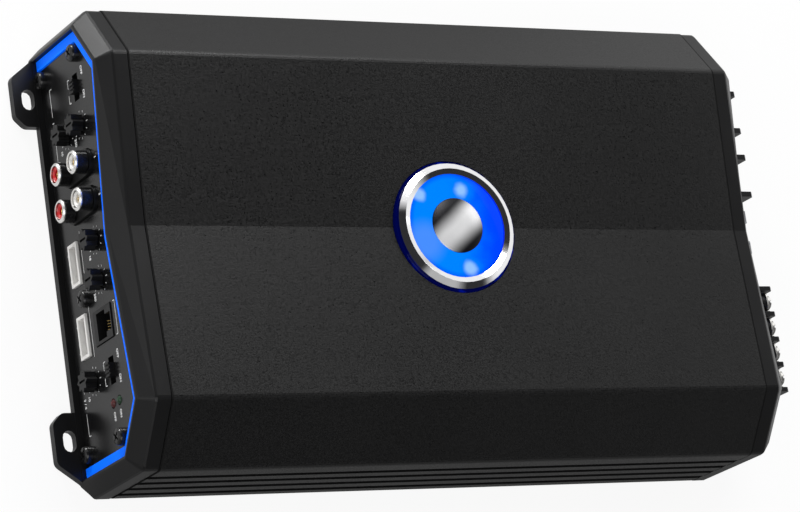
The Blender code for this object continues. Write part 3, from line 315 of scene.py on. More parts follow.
@dataclass(frozen=True)
class Turns(Layer):
    """Ridges of wire that is wound round a ring."""

    middle: Place
    count: int

    def value(self, graph: Graph) -> Wire:
        """Add one ridge for each turn of wire.

        Args:
            graph: The material's graph.

        Returns:
            Height of the ridge at each place of the surface, from 0 to 1.
        """
        inputs = {0: graph.spot(), 1: self.middle}
        local = graph.add("ShaderNodeVectorMath", {"operation": "SUBTRACT"}, inputs)
        inputs = {0: graph.part(local, "Y"), 1: graph.part(local, "X")}
        angle = graph.add("ShaderNodeMath", {"operation": "ARCTAN2"}, inputs)
        return graph.add("ShaderNodeMath", {"operation": "SINE"}, {0: angle * self.count}) * 0.5 + 0.5


@dataclass(frozen=True)
class Patch:
    """Part of a surface that shows another colour, where all of its masks do."""

    colour: Colour
    masks: tuple[Layer, ...]
    share: float = 1.0
    gloss: float = 0.0
    plated: bool = False


# Finishes

@dataclass(frozen=True)
class Finish:
    """A surface: constants of its shader, the layers that vary it, and patches of other colours."""

    colour: Colour
    roughness: float
    metallic: float = 0.0
    specular: float = 0.5
    transmission: float = 0.0
    glow: float = 0.0
    layers: tuple[Layer, ...] = ()
    tones: Point = (0.8, 1.2)
    tone_shift: float = 0.0
    strength: float = 0.0
    depth: float = 0.0
    patches: tuple[Patch, ...] = ()

    def vary(self, graph: Graph) -> dict[str, Wire]:
        """Add what changes over the surface.

        Args:
            graph: The material's graph.

        Returns:
            Wires for the shader's sockets.
        """
        values = [(layer, layer.value(graph)) for layer in self.layers]
        tone = total(value * layer.tone for layer, value in values if layer.tone) + self.tone_shift
        gloss = total((value - 0.5) * layer.gloss for layer, value in values if layer.gloss)
        relief = [value * layer.relief for layer, value in values if layer.relief]
        colour = graph.blend(tone, *(shade(self.colour, share) for share in self.tones))
        made = {"Base Color": colour, "Roughness": gloss + self.roughness}
        if relief:
            made["Normal"] = graph.bump(total(relief), self.strength, self.depth)
        for patch in self.patches:
            mask = reduce(operator.mul, (layer.value(graph) for layer in patch.masks))
            made["Base Color"] = graph.blend(mask * patch.share, made["Base Color"], patch.colour)
            made["Roughness"] += mask * patch.gloss
            if patch.plated:
                made["Metallic"] = mask
        return made

    def material(self, name: str) -> bpy.types.Material:
        """Make the material.

        Args:
            name: Its name.

        Returns:
            The material.
        """
        material = bpy.data.materials.new(name)
        material.use_nodes = True
        graph = Graph(material.node_tree)
        constants = {
            "Metallic": self.metallic,
            "Specular IOR Level": self.specular,
            "Transmission Weight": self.transmission,
            "Emission Strength": self.glow,
        }
        shader = material.node_tree.nodes["Principled BSDF"]
        graph.connect(shader, {**constants, **self.vary(graph)})
        return material


@dataclass(frozen=True)
class TexturedCoat(Finish):
    """Coat with a fine sand texture and a slow drift of tone."""

    layers: tuple[Layer, ...] = (
        Noise(0.55 * MM, edges=(0.25, 0.75), tone=0.5, gloss=0.2),
        Noise(0.55 * MM, relief=0.7),
        Noise(1.155 * MM, tone=0.4, gloss=0.12, relief=0.3),
        Noise(70 * MM, tone=0.35, gloss=0.1),
    )
    tones: Point = (0.5, 1.5)
    tone_shift: float = -0.15
    strength: float = 0.8
    depth: float = 0.08 * MM


@dataclass(frozen=True)
class SatinPaint(Finish):
    """Satin paint with a faint orange peel and fine dust in it."""

    layers: tuple[Layer, ...] = (
        Noise(1.1 * MM, relief=0.6),
        Noise(0.22 * MM, 3.0, tone=0.5, gloss=0.1, relief=0.4),
        Noise(30 * MM, 3.0, tone=0.5, gloss=0.14),
    )
    tones: Point = (0.7, 1.3)
    strength: float = 0.35
    depth: float = 0.02 * MM


@dataclass(frozen=True)
class LitStrip(Finish):
    """Translucent coloured strip with a painted glow, as if lit from behind; no lamp lights it."""

    layers: tuple[Layer, ...] = (Noise(0.5 * MM, tone=1.0, gloss=0.12),)
    tones: Point = (0.8, 1.0)
    # painted light: slow changes in the strip's glow
    light: tuple[Layer, ...] = (Noise(24 * MM, edges=(0.3, 0.7), tone=0.7), Noise(0.5 * MM, tone=0.3))
    deep: Colour = (0.001, 0.085, 0.75)

    def vary(self, graph: Graph) -> dict[str, Wire]:
        """Add a fine haze, and painted light that changes slowly along the strip.

        Args:
            graph: The material's graph.

        Returns:
            Wires for the shader's sockets.
        """
        made = super().vary(graph)
        light = total(layer.value(graph) * layer.tone for layer in self.light)
        made["Emission Color"] = graph.blend(light, self.deep, self.colour)
        return made


@dataclass(frozen=True)
class LitLens(Finish):
    """Clear blue lens with a painted glow, as if small lamps lay under it; its skirt below the ring is
    painted dark as shade.
    """

    layers: tuple[Layer, ...] = (Noise(7 * MM, 3.0, tone=1.0, gloss=0.05),)
    tones: Point = (0.12, 0.2)
    deep: Colour = (0.0, 0.024, 0.92)
    # painted light: brighter to one side, deeper to the other
    fade: Point = (-4 * MM, 17 * MM)
    fade_swirl: float = 12 * MM
    # spots of the painted pools of light; no lamp is modelled under the lens
    lamps: tuple[Point, ...] = ((-13.8 * MM, 11.4 * MM), (3.4 * MM, 13.0 * MM), (2.8 * MM, -15.8 * MM))
    lamp_swirl: float = 3 * MM
    lamp_wash: Point = (1.5 * MM, 9 * MM)
    lamp_core: Point = (1.2 * MM, 3.6 * MM)
    core_colour: Colour = (0.36, 0.6, 1.0)
    core_share: float = 0.85
    # a pale pool of painted light at the left
    haze_spot: Point = (-14.0 * MM, -6.0 * MM)
    haze_fade: Point = (3 * MM, 10 * MM)
    haze_colour: Colour = (0.08, 0.26, 1.0)
    haze_share: float = 0.85
    rim: Point = (16.9 * MM, 18.8 * MM)
    rim_share: float = 0.5
    skirt: Point = (19.1 * MM, 19.5 * MM)
    # the skirt's dark base colour is painted shade under the ring
    skirt_tone: float = 0.03
    # painted glints on the dark skirt
    glint: Point = (0.56, 0.72)
    glint_share: float = 0.5
    glint_tones: Point = (0.04, 0.6)

    def vary(self, graph: Graph) -> dict[str, Wire]:
        """Add painted light that fades to one side, painted pools of it about the lamps' spots, a pale
        painted pool, and the skirt outside the ring, painted dark as shade with painted glints.

        Args:
            graph: The material's graph.

        Returns:
            Wires for the shader's sockets.
        """
        made = super().vary(graph)
        spot = graph.spot()
        flat = graph.scaled(spot, FLAT)
        cloud = self.layers[0].value(graph)
        swirl = cloud - 0.5
        side = 1 - (graph.part(spot, "X") + swirl * self.fade_swirl).step(*self.fade)
        nearest = reduce(operator.and_, (graph.distance(flat, (*lamp, 0.0)) for lamp in self.lamps))
        ripple = nearest + swirl * self.lamp_swirl
        wash = (1 - ripple.step(*self.lamp_wash)) | side
        core = 1 - ripple.step(*self.lamp_core)
        haze = 1 - graph.distance(flat, (*self.haze_spot, 0.0)).step(*self.haze_fade)
        radius = graph.distance(flat, ORIGIN)
        skirt = radius.step(*self.skirt)
        # emission colour is painted light: pools, side fade, deeper near the ring, a pale pool and bright
        # cores
        lit = graph.blend(wash, self.deep, self.colour)
        lit = graph.blend(radius.step(*self.rim) * self.rim_share, lit, self.deep)
        lit = graph.blend(haze * self.haze_share, lit, self.haze_colour)
        lit = graph.blend(core * self.core_share, lit, self.core_colour)
        # painted glints, and the skirt painted dark as shade
        glint = cloud.step(*self.glint) * self.glint_share
        dim = graph.blend(glint, *(shade(self.deep, share) for share in self.glint_tones))
        made["Base Color"] = graph.blend(skirt, made["Base Color"], shade(self.deep, self.skirt_tone))
        made["Emission Color"] = graph.blend(skirt, lit, dim)
        return made


@dataclass(frozen=True)
class PlatedMetal(Finish):
    """Bright plate with hairlines and a faint haze."""

    layers: tuple[Layer, ...] = (
        Noise(5 * MM, 3.0, tone=1.0, gloss=0.06),
        Noise(0.25 * MM, stretch=(1.0, 0.12, 1.0), gloss=0.05, relief=1.0),
    )
    tones: Point = (0.9, 1.06)
    strength: float = 0.08
    depth: float = 0.01 * MM


@dataclass(frozen=True)
class CrownedPlate(PlatedMetal):
    """Plated ring whose sloping outer face is polished a little flatter than it was cut."""

    layers: tuple[Layer, ...] = (
        Noise(5 * MM, 3.0, tone=1.0, gloss=0.06),
        Noise(0.25 * MM, stretch=(1.0, 0.12, 1.0), gloss=0.05),
        Rise(21.1 * MM, relief=1.0),
    )
    strength: float = 1.0
    depth: float = 0.3 / 2.2


@dataclass(frozen=True)
class MouldedPlastic(Finish):
    """Moulded plastic with a spark-eroded texture and flow marks."""

    layers: tuple[Layer, ...] = (
        Noise(0.28 * MM, 3.0, tone=0.35, gloss=0.16, relief=1.0),
        Noise(6 * MM, 3.0, tone=0.65, gloss=0.1),
    )
    tones: Point = (0.8, 1.18)
    strength: float = 0.3
    depth: float = 0.02 * MM


@dataclass(frozen=True)
class TintedPlastic(Finish):
    """Clear tinted plastic, a little cloudy."""

    layers: tuple[Layer, ...] = (Noise(2.5 * MM, 3.0, tone=1.0, gloss=0.12),)
    tones: Point = (0.75, 1.2)


@dataclass(frozen=True)
class RolledSteel(Finish):
    """Zinc-plated sheet with spangles, rolling lines and the haze of handling."""

    layers: tuple[Layer, ...] = (
        Spangle(5 * MM, tone=0.4, gloss=0.14),
        Noise(0.3 * MM, stretch=(0.02, 1.0, 1.0), tone=0.3, relief=1.0),
        Noise(25 * MM, 3.0, tone=0.3, gloss=0.16),
    )
    tones: Point = (0.75, 1.25)
    strength: float = 0.12
    depth: float = 0.01 * MM


@dataclass(frozen=True)
class SolderMask(Finish):
    """Green lacquer with copper tracks that stand a little proud and paler under it."""

    layers: tuple[Layer, ...] = (
        Noise(3 * MM, 0.0, (0.25, 1.0, 1.0), (0.48, 0.52), tone=0.7, relief=1.0),
        Noise(0.4 * MM, tone=0.2, gloss=0.15),
    )
    tones: Point = (0.7, 1.5)
    strength: float = 0.4
    depth: float = 0.05 * MM


@dataclass(frozen=True)
class Winding(Finish):
    """Enamelled copper wire, wound round a ring."""

    # colour darker in the grooves between turns: painted shade; the ridges are also a bump
    layers: tuple[Layer, ...] = (Turns((30 * MM, 0.0, 0.0), 60, tone=1.0, gloss=0.1, relief=1.0),)
    tones: Point = (0.45, 1.15)
    strength: float = 0.8
    depth: float = 0.3 * MM


class Surface(Enum):
    """Finishes of the amplifier."""

    COATED_ALUMINIUM = "coated_aluminium"
    SATIN_BLACK = "satin_black"
    PANEL_GREY = "panel_grey"
    BLUE_TRIM = "blue_trim"
    BLUE_LENS = "blue_lens"
    CHROME = "chrome"
    NICKEL = "nickel"
    BLACK_PLASTIC = "black_plastic"
    WHITE_PLASTIC = "white_plastic"
    RED_PLASTIC = "red_plastic"
    GREEN_LAMP = "green_lamp"
    RED_LAMP = "red_lamp"
    CLEAR_FUSE = "clear_fuse"
    BOARD_GREEN = "board_green"
    COPPER_WIRE = "copper_wire"
    ZINC_STEEL = "zinc_steel"
    PRINT = "white_print"
    BLACK_SCREW = "black_screw"
    CONTACT = "gold_contact"
    SLEEVE = "plated_rim"
    SATIN_SILVER = "satin_silver"


LENGTHWISE: Place = (1.0, 0.0, 0.0)
CROSSWISE: Place = (0.0, 1.0, 0.0)
FUSE_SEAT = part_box("fuse_holder")[1].x - 2.0 * MM
FINE_PEEL = (Noise(0.6 * MM, relief=0.6), *SatinPaint.layers[1:])
RUBS = (Noise(1.5 * MM, 4.0, (1.0, 0.2, 1.0), (0.58, 0.75)),)
CREASES = (
    Band(CROSSWISE, (1.3 * MM, 0.2 * MM), 61.6 * MM, mirrored=True),
    Noise(3 * MM, 3.0, (0.35, 1.0, 1.0), (0.42, 0.7)),
)
# painted shadow line, near black and rough, where the case meets the end frames
SEAM_PAINTED_SHADOW = (Band(LENGTHWISE, (120.45 * MM, 120.6 * MM)),)
BLADES = (Band(LENGTHWISE, (FUSE_SEAT, FUSE_SEAT - 0.1 * MM)),)
SLEEVE_RIMS = (Band(LENGTHWISE, (135.1 * MM, 135.25 * MM)),)
# painted reflection on the cap: silver in a diagonal band, near black on either side
CAP_PAINTED_REFLECTION = (Band((0.62, -0.78, 0.0), (1.0 * MM, 7.5 * MM), 0.8 * MM),)
FINISHES: dict[Surface, Finish] = {
    Surface.COATED_ALUMINIUM: TexturedCoat(
        (0.0062, 0.0062, 0.0063),
        0.38,
        specular=0.34,
        patches=(
            Patch((0.01612, 0.01612, 0.01638), CREASES, 0.45, gloss=-0.08),
            # painted shadow at the case's ends
            Patch((0.00124, 0.00124, 0.00126), SEAM_PAINTED_SHADOW, gloss=1.0),
        ),
    ),
    Surface.SATIN_BLACK: SatinPaint(
        (0.0075, 0.0075, 0.0078), 0.34, specular=0.25, patches=(Patch((0.0165, 0.0165, 0.01716), RUBS, 0.12),)
    ),
    Surface.PANEL_GREY: SatinPaint(
        (0.0055, 0.0055, 0.0057),
        0.22,
        specular=0.3,
        layers=FINE_PEEL,
        patches=(Patch((0.0121, 0.0121, 0.01254), RUBS, 0.12),),
    ),
    # the trim's emission is a painted glow; no lamp is behind it
    Surface.BLUE_TRIM: LitStrip((0.002, 0.15, 1.0), 0.5, specular=0.05, glow=0.4),
    # the lens's emission is a painted glow; no lamp is under it
    Surface.BLUE_LENS: LitLens((0.0, 0.21, 1.0), 0.06, specular=0.04, glow=0.95),
    Surface.CHROME: CrownedPlate((0.86, 0.86, 0.87), 0.066, metallic=1.0),
    Surface.NICKEL: PlatedMetal((0.82, 0.81, 0.78), 0.306, metallic=1.0),
    Surface.BLACK_PLASTIC: MouldedPlastic((0.0055, 0.0055, 0.0057), 0.42, specular=0.25),
    Surface.WHITE_PLASTIC: MouldedPlastic((0.72, 0.71, 0.69), 0.36),
    Surface.RED_PLASTIC: MouldedPlastic((0.5, 0.008, 0.01), 0.32),
    Surface.GREEN_LAMP: TintedPlastic((0.012, 0.04, 0.018), 0.2, specular=0.3),
    Surface.RED_LAMP: TintedPlastic((0.06, 0.01, 0.01), 0.2, specular=0.3),
    Surface.CLEAR_FUSE: TintedPlastic(
        (0.5, 0.51, 0.51), 0.16, transmission=0.45, patches=(Patch((0.7, 0.69, 0.66), BLADES, plated=True),)
    ),
    Surface.BOARD_GREEN: SolderMask((0.02, 0.13, 0.05), 0.4),
    Surface.COPPER_WIRE: Winding((0.6, 0.22, 0.07), 0.35, metallic=0.9),
    Surface.ZINC_STEEL: RolledSteel((0.4, 0.4, 0.41), 0.38, metallic=0.9),
    Surface.PRINT: MouldedPlastic((0.7, 0.7, 0.7), 0.55, specular=0.3),
    Surface.BLACK_SCREW: PlatedMetal((0.007, 0.007, 0.0072), 0.266, specular=0.4),
    Surface.CONTACT: PlatedMetal((0.83, 0.6, 0.24), 0.186, metallic=1.0),
    Surface.SLEEVE: PlatedMetal(
        (0.008, 0.008, 0.0085),
        0.266,
        specular=0.3,
        patches=(Patch((0.85, 0.84, 0.82), SLEEVE_RIMS, plated=True),),
    ),
    # the cap's dark sides and bright band are a painted reflection
    Surface.SATIN_SILVER: PlatedMetal(
        (0.9, 0.9, 0.91), 0.306, metallic=0.4, specular=0.2, patches=(Patch((0.008, 0.008, 0.01), CAP_PAINTED_REFLECTION),)
    ),
}


# Shapes

class End(Enum):
    """The two ends of the case; the value is the way that an end faces along X."""

    CONTROL = -1
    TERMINAL = 1

    @property
    def label(self) -> str:
        """Word that the names of this end's own pieces start with."""
        return self.name.lower()

    @property
    def axes(self) -> Matrix:
        """Matrix from the end's own axes to the frame."""
        return Matrix.Rotation(math.pi if self is End.CONTROL else 0.0, 4, "Z")

    def spot(self, node: str) -> Point:
        """Middle of a solid: its distance to the right of the middle of this end, and its height."""
        low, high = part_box(node)
        return (low.y + high.y) / 2 * self.value, (low.z + high.z) / 2

    def span(self, node: str) -> Point:
        """Nearest and farthest reach of a solid out of this end, from the middle of the case."""
        low, high = sorted(corner.x * self.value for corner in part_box(node))
        return low, high


def rounded(
    width: float, height: float, radius: float, spot: Point = (0.0, 0.0), steps: int = 4
) -> list[Point]:
    """Rectangle with round corners.

    Args:
        width: Size across.
        height: Size upwards.
        radius: Radius of the corners.
        spot: Middle of the rectangle.
        steps: Straight pieces in each corner.

    Returns:
        Points of the outline, counter-clockwise.
    """
    points = []
    for quarter, (u, v) in enumerate(((1, 1), (-1, 1), (-1, -1), (1, -1))):
        middle = (spot[0] + u * (width / 2 - radius), spot[1] + v * (height / 2 - radius))
        for step in range(steps + 1):
            turn = (quarter + step / steps) * QUARTER_TURN
            points.append((middle[0] + radius * math.cos(turn), middle[1] + radius * math.sin(turn)))
    return points


def stroke(start: Point, end: Point, width: float) -> list[Point]:
    """Outline of a straight line of print.

    Args:
        start: One end of the line.
        end: The other end.
        width: Thickness of the line.

    Returns:
        Its four corners.
    """
    along = Vector(end) - Vector(start)
    side = Vector((-along.y, along.x)).normalized() * (width / 2)
    corners = (Vector(start) - side, Vector(end) - side, Vector(end) + side, Vector(start) + side)
    return [(corner.x, corner.y) for corner in corners]


def shrunk(outline: Sequence[Point], distance: float) -> list[Point]:
    """Outline with every side moved inwards.

    Args:
        outline: Points, counter-clockwise.
        distance: How far the sides move.

    Returns:
        The smaller outline.
    """
    points = [Vector(point) for point in outline]
    moved = []
    for index, point in enumerate(points):
        back = (point - points[index - 1]).normalized()
        ahead = (points[(index + 1) % len(points)] - point).normalized()
        normal = Vector((-back.y, back.x)) + Vector((-ahead.y, ahead.x))
        reach = distance * 2 / max(normal.length_squared, SHARPEST_CORNER)
        moved.append((point.x + normal.x * reach, point.y + normal.y * reach))
    return moved


def spread(middle: float, pitch: float, count: int) -> list[float]:
    """Places of a row of equal pieces about its middle."""
    return [middle + (index - (count - 1) / 2) * pitch for index in range(count)]


def evaluated(guide: bpy.types.Object) -> bpy.types.Mesh:
    """Mesh of an object with its modifiers; the object is removed.

    Args:
        guide: The object.

    Returns:
        The finished mesh.
    """
    bpy.context.scene.collection.objects.link(guide)
    graph = bpy.context.evaluated_depsgraph_get()
    mesh = bpy.data.meshes.new_from_object(guide.evaluated_get(graph))
    bpy.data.objects.remove(guide)
    return mesh


class Form:
    """Closed shapes gathered into one mesh, in the axes of an end."""

    def __init__(self) -> None:
        """Start with nothing."""
        self.shape = bmesh.new()

    def _skin(self, rings: Sequence[Sequence[bmesh.types.BMVert]], closed: bool) -> None:
        """Join rings of points with faces.

        Args:
            rings: Rings of one point, or of one common number of points.
            closed: Whether the last ring joins the first; otherwise open rings at the ends are capped.
        """
        pairs = list(zip(rings, rings[1:]))
        if closed:
            pairs.append((rings[-1], rings[0]))
        for ring, following in pairs:
            for index in range(max(len(ring), len(following))):
                corners = [ring[index - 1], ring[index]] if len(ring) > 1 else [ring[0]]
                corners += [following[index], following[index - 1]] if len(following) > 1 else [following[0]]
                self.shape.faces.new(corners)
        if not closed:
            for ring in (rings[0], rings[-1]):
                if len(ring) > 2:
                    self.shape.faces.new(ring)

    def turned(
        self, profile: Sequence[Point], steps: int, spot: Point = (0.0, 0.0), closed: bool = False
    ) -> "Form":
        """Turn a profile about an axis that points out of the panel.

        Args:
            profile: Points of (radius, distance out).
            steps: Faces round the axis.
            spot: Place of the axis on the panel.
            closed: Whether the profile is a closed ring.

        Returns:
            This form.
        """
        rings = []
        for radius, out in profile:
            turns = [FULL_TURN * step / steps for step in range(steps if radius > 0 else 1)]
            places = [(out, spot[0] + radius * math.cos(t), spot[1] + radius * math.sin(t)) for t in turns]
            rings.append([self.shape.verts.new(place) for place in places])
        self._skin(rings, closed)
        return self

    def prism(self, outline: Sequence[Point], low: float, high: float, edge: float = 0.0) -> "Form":
        """Draw an outline out of the panel, with a chamfer round its front.

        Args:
            outline: Points on the panel.
            low: Where it starts.
            high: Where it ends.
            edge: Width of the chamfer.

        Returns:
            This form.
        """
        sections = [(low, outline), (high, outline)]
        if edge:
            sections = [(low, outline), (high - edge, outline), (high, shrunk(outline, edge))]
        rings = [[self.shape.verts.new((out, y, z)) for y, z in points] for out, points in sections]
        self._skin(rings, False)
        return self

    def tube(self, path: Sequence[Place], radius: float, sides: int = 8) -> "Form":
        """Wire along a path.

        Args:
            path: Points of its middle line.
            radius: Half its thickness.
            sides: Faces round it.

        Returns:
            This form.
        """
        points = [Vector(point) for point in path]
        rings = []
        for index, point in enumerate(points):
            before, after = points[max(index - 1, 0)], points[min(index + 1, len(points) - 1)]
            along = (after - before).normalized()
            across = along.cross(Vector((0, 1, 0))).normalized()
            upright = along.cross(across)
            turns = [FULL_TURN * step / sides for step in range(sides)]
            offsets = [(across * math.cos(turn) + upright * math.sin(turn)) * radius for turn in turns]
            rings.append([self.shape.verts.new(point + offset) for offset in offsets])
        self._skin(rings, False)
        return self

    def carved(self, tool: "Form") -> "Form":
        """Cut another form out of this one.

        Args:
            tool: The form to take away.

        Returns:
            This form.
        """
        guide = bpy.data.objects.new("carved", self.mesh("carved", Matrix.Identity(4)))
        cutter = bpy.data.objects.new("tool", tool.mesh("tool", Matrix.Identity(4)))
        bpy.context.scene.collection.objects.link(cutter)
        modifier = guide.modifiers.new("cut", "BOOLEAN")
        modifier.object = cutter
        mesh = evaluated(guide)
        bpy.data.objects.remove(cutter)
        self.shape = bmesh.new()
        self.shape.from_mesh(mesh)
        return self

    def words(self, text: str, size: float, spot: Point, low: float, high: float) -> "Form":
        """Add printed figures.

        Args:
            text: What is printed.
            size: Height of the type.
            spot: Middle of the print on the panel.
            low: Underside of the print.
            high: Face of the print.

        Returns:
            This form.
        """
        curve = bpy.data.curves.new("print", "FONT")
        curve.body = text
        curve.size = size
        curve.align_x = "CENTER"
        curve.align_y = "CENTER"
        curve.resolution_u = TYPE_STEPS
        curve.offset = size * TYPE_BOLDNESS
        curve.extrude = (high - low) / 2
        mesh = evaluated(bpy.data.objects.new("print", curve))
        turn = Matrix(((0, 0, 1, (low + high) / 2), (1, 0, 0, spot[0]), (0, 1, 0, spot[1]), (0, 0, 0, 1)))
        mesh.transform(turn)
        self.shape.from_mesh(mesh)
        bmesh.ops.remove_doubles(self.shape, verts=self.shape.verts, dist=TYPE_JOIN_GAP)
        return self

    def mesh(self, name: str, axes: Matrix) -> bpy.types.Mesh:
        """Finish the mesh.

        Args:
            name: Its name.
            axes: Matrix from the axes that it was shaped in to the frame.

        Returns:
            The mesh, smooth but for its sharp edges.
        """
        bmesh.ops.recalc_face_normals(self.shape, faces=self.shape.faces)
        mesh = bpy.data.meshes.new(name)
        self.shape.to_mesh(mesh)
        self.shape.free()
        mesh.transform(axes)
        mesh.shade_smooth()
        mesh.set_sharp_from_angle(angle=SHARP_ANGLE)
        return mesh


@dataclass(frozen=True)
class PanelScrew:
    """Pan-head screw with a cross recess; the crown is in shares of the radius and of the height."""

    radius: float = 3.1 * MM
    height: float = 2.8 * MM
    recess: float = 3.6 * MM
    blade: float = 0.75 * MM
    depth: float = 1.1 * MM
    sink: float = 0.05 * MM
    sides: int = 28
    crown: tuple[Point, ...] = ((0.0, 0.0), (0.6, 0.04), (0.84, 0.12), (0.96, 0.27), (1.0, 0.48))

    def form(self, spot: Point, out: float) -> Form:
        """Shape the head.

        Args:
            spot: Its place on the panel.
            out: The panel's face.

        Returns:
            The shape.
        """
        tip, foot = out + self.height, out - self.sink
        profile = [(self.radius * share, tip - self.height * drop) for share, drop in self.crown]
        head = Form().turned([*profile, (self.radius, foot), (0.0, foot)], self.sides, spot)
        long, short = self.recess / 2, self.blade / 2
        arm = [Vector(point) for point in ((long, -short), (long, short), (short, short))]
        turns = [Matrix.Rotation((quarter + 0.5) * QUARTER_TURN, 2) for quarter in range(4)]
        cross = [turn @ point for turn in turns for point in arm]
        outline = [(spot[0] + point.x, spot[1] + point.y) for point in cross]
        return head.carved(Form().prism(outline, tip - self.depth, tip + self.height))


@dataclass(frozen=True)
class Clamp:
    """Plate under a terminal's screw, with a hole and two raised lips."""

    width: float
    height: float
    corner: float
    bore: float
    sheet: float = 0.75 * MM
    chamfer: float = 0.12 * MM
    lip_rise: float = 1.1 * MM
    lip_width: float = 0.45 * MM
    lip_length: float = 3.6 * MM
    lip_corner: float = 0.15 * MM
    sides: int = 24

    def form(self, spot: Point, floor: float) -> Form:
        """Shape the plate.

        Args:
            spot: The screw's axis.
            floor: Underside of the plate.

        Returns:
            The shape.
        """
        top = floor + self.sheet
        outline = rounded(self.width, self.height, self.corner, spot)
        plate = Form().prism(outline, floor, top, self.chamfer)
        below, above = floor - MM, floor + 2 * MM
        hole = [(0.0, below), (self.bore, below), (self.bore, above), (0.0, above)]
        plate.carved(Form().turned(hole, self.sides, spot))
        for side in (-1, 1):
            middle = (spot[0] + side * (self.width - self.lip_width) / 2, spot[1])
            lip = rounded(self.lip_width, self.lip_length, self.lip_corner, middle, steps=2)
            plate.prism(lip, floor + self.sheet / 2, top + self.lip_rise, self.chamfer)
        return plate


# Sub-assemblies

class Curves(Enum):
    """Which faces of a solid are curved; the value is the height that they end at."""

    NONE = -1.0
    FEET = 10 * MM
    ALL = 1.0


class Bench:
    """Where pieces are dressed and added."""

    def __init__(self, nodes: Mapping[str, bpy.types.Object]) -> None:
        """Make the materials and take the solids.

        Args:
            nodes: The solids by name.
        """
        self.nodes = nodes
        self.smoothing = {kind: smoothing(kind.value) for kind in Curves}
        self.materials = {surface: finish.material(surface.value) for surface, finish in FINISHES.items()}

    def dress(self, surface: Surface, *names: str, curves: Curves = Curves.ALL) -> None:
        """Give solids a finish.

        Args:
            surface: The finish.
            names: Names of the solids.
            curves: Which of their faces are curved.
        """
        for name in names:
            node = self.nodes[name]
            for holder in node.material_slots:
                holder.material = self.materials[surface]
            node.modifiers.new("smoothing", "NODES").node_group = self.smoothing[curves]
            LOG.info("dressed %s as %s", name, surface.value)

    def add(
        self, name: str, form: Form, surface: Surface, end: End | None = None, body: str = "chassis"
    ) -> None:
        """Add a piece that moves with a body.

        Args:
            name: The piece's name.
            form: Its shape.
            surface: Its finish.
            end: The end whose axes it was shaped in, or None for the frame's own.
            body: The body that carries it.
        """
        mesh = form.mesh(name, end.axes if end else Matrix.Identity(4))
        mesh.materials.append(self.materials[surface])
        piece = bpy.data.objects.new(name, mesh)
        bpy.context.scene.collection.objects.link(piece)
        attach(piece, body)
        surface not in (Surface.PRINT, Surface.BLACK_SCREW, Surface.CONTACT)
        LOG.info("added %s to %s", name, body)


@dataclass
class Assembly:
    """Pieces that are dressed and finished together."""

    bench: Bench

    def dress(self) -> None:
        """Give the solids their finishes."""

    def build(self) -> None:
        """Add the finer pieces; some assemblies have none."""


@dataclass
class Case(Assembly):
    """Extruded case and the plate that closes it."""

    screw_places: tuple[Point, ...] = tuple((x * MM, y * MM) for x in (-96, -32, 32, 96) for y in (-71, 71))
    screw: PanelScrew = PanelScrew(2.6 * MM, 1.2 * MM, 3.0 * MM, 0.7 * MM, 0.8 * MM)

    def dress(self) -> None:
        """Finish the shell and the plate."""
        self.bench.dress(Surface.COATED_ALUMINIUM, "heatsink_shell", curves=Curves.NONE)
        self.bench.dress(Surface.ZINC_STEEL, "bottom_plate")

    def build(self) -> None:
        """Add the plate's screws, which point down."""
        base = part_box("bottom_plate")[0].z
        down = Matrix.Rotation(QUARTER_TURN, 4, "Y")
        for index, (x, y) in enumerate(self.screw_places, start=1):
            form = self.screw.form((y, x), -base)
            bmesh.ops.transform(form.shape, matrix=down, verts=form.shape.verts)
            self.bench.add(f"plate_screw_{index}", form, Surface.BLACK_SCREW)


@dataclass
class Emblem(Assembly):
    """Lens with a painted glow under a chrome ring, with a plain cap that carries a painted reflection band.
    """

    def dress(self) -> None:
        """Finish the lens, the ring and the cap."""
        self.bench.dress(Surface.BLUE_LENS, "emblem_lens")
        self.bench.dress(Surface.CHROME, "emblem_ring")
        self.bench.dress(Surface.SATIN_SILVER, "emblem_cap")


@dataclass
class EndPanel(Assembly):
    """Frame, panel and trim of one end, with the panel's screws."""

    end: End
    more_screws: tuple[Point, ...] = ()
    corners: tuple[Point, ...] = ((68.6 * MM, 34.5 * MM), (68.0 * MM, 6.7 * MM))
    screw: PanelScrew = PanelScrew()

    def dress(self) -> None:
        """Finish the frame, the panel and the trim."""
        self.bench.dress(Surface.SATIN_BLACK, f"{self.end.label}_end_frame", curves=Curves.FEET)
        self.bench.dress(Surface.PANEL_GREY, f"{self.end.label}_panel")
        self.bench.dress(Surface.BLUE_TRIM, f"{self.end.label}_trim", curves=Curves.NONE)

    def build(self) -> None:
        """Add a screw near each corner of the panel, and any others."""
        panel = f"{self.end.label}_panel"
        places = [(side * y, z) for y, z in self.corners for side in (-1, 1)]
        for index, spot in enumerate((*places, *self.more_screws), start=1):
            form = self.screw.form(spot, self.end.span(panel)[1])
            self.bench.add(f"{panel}_screw_{index}", form, Surface.BLACK_SCREW, self.end)


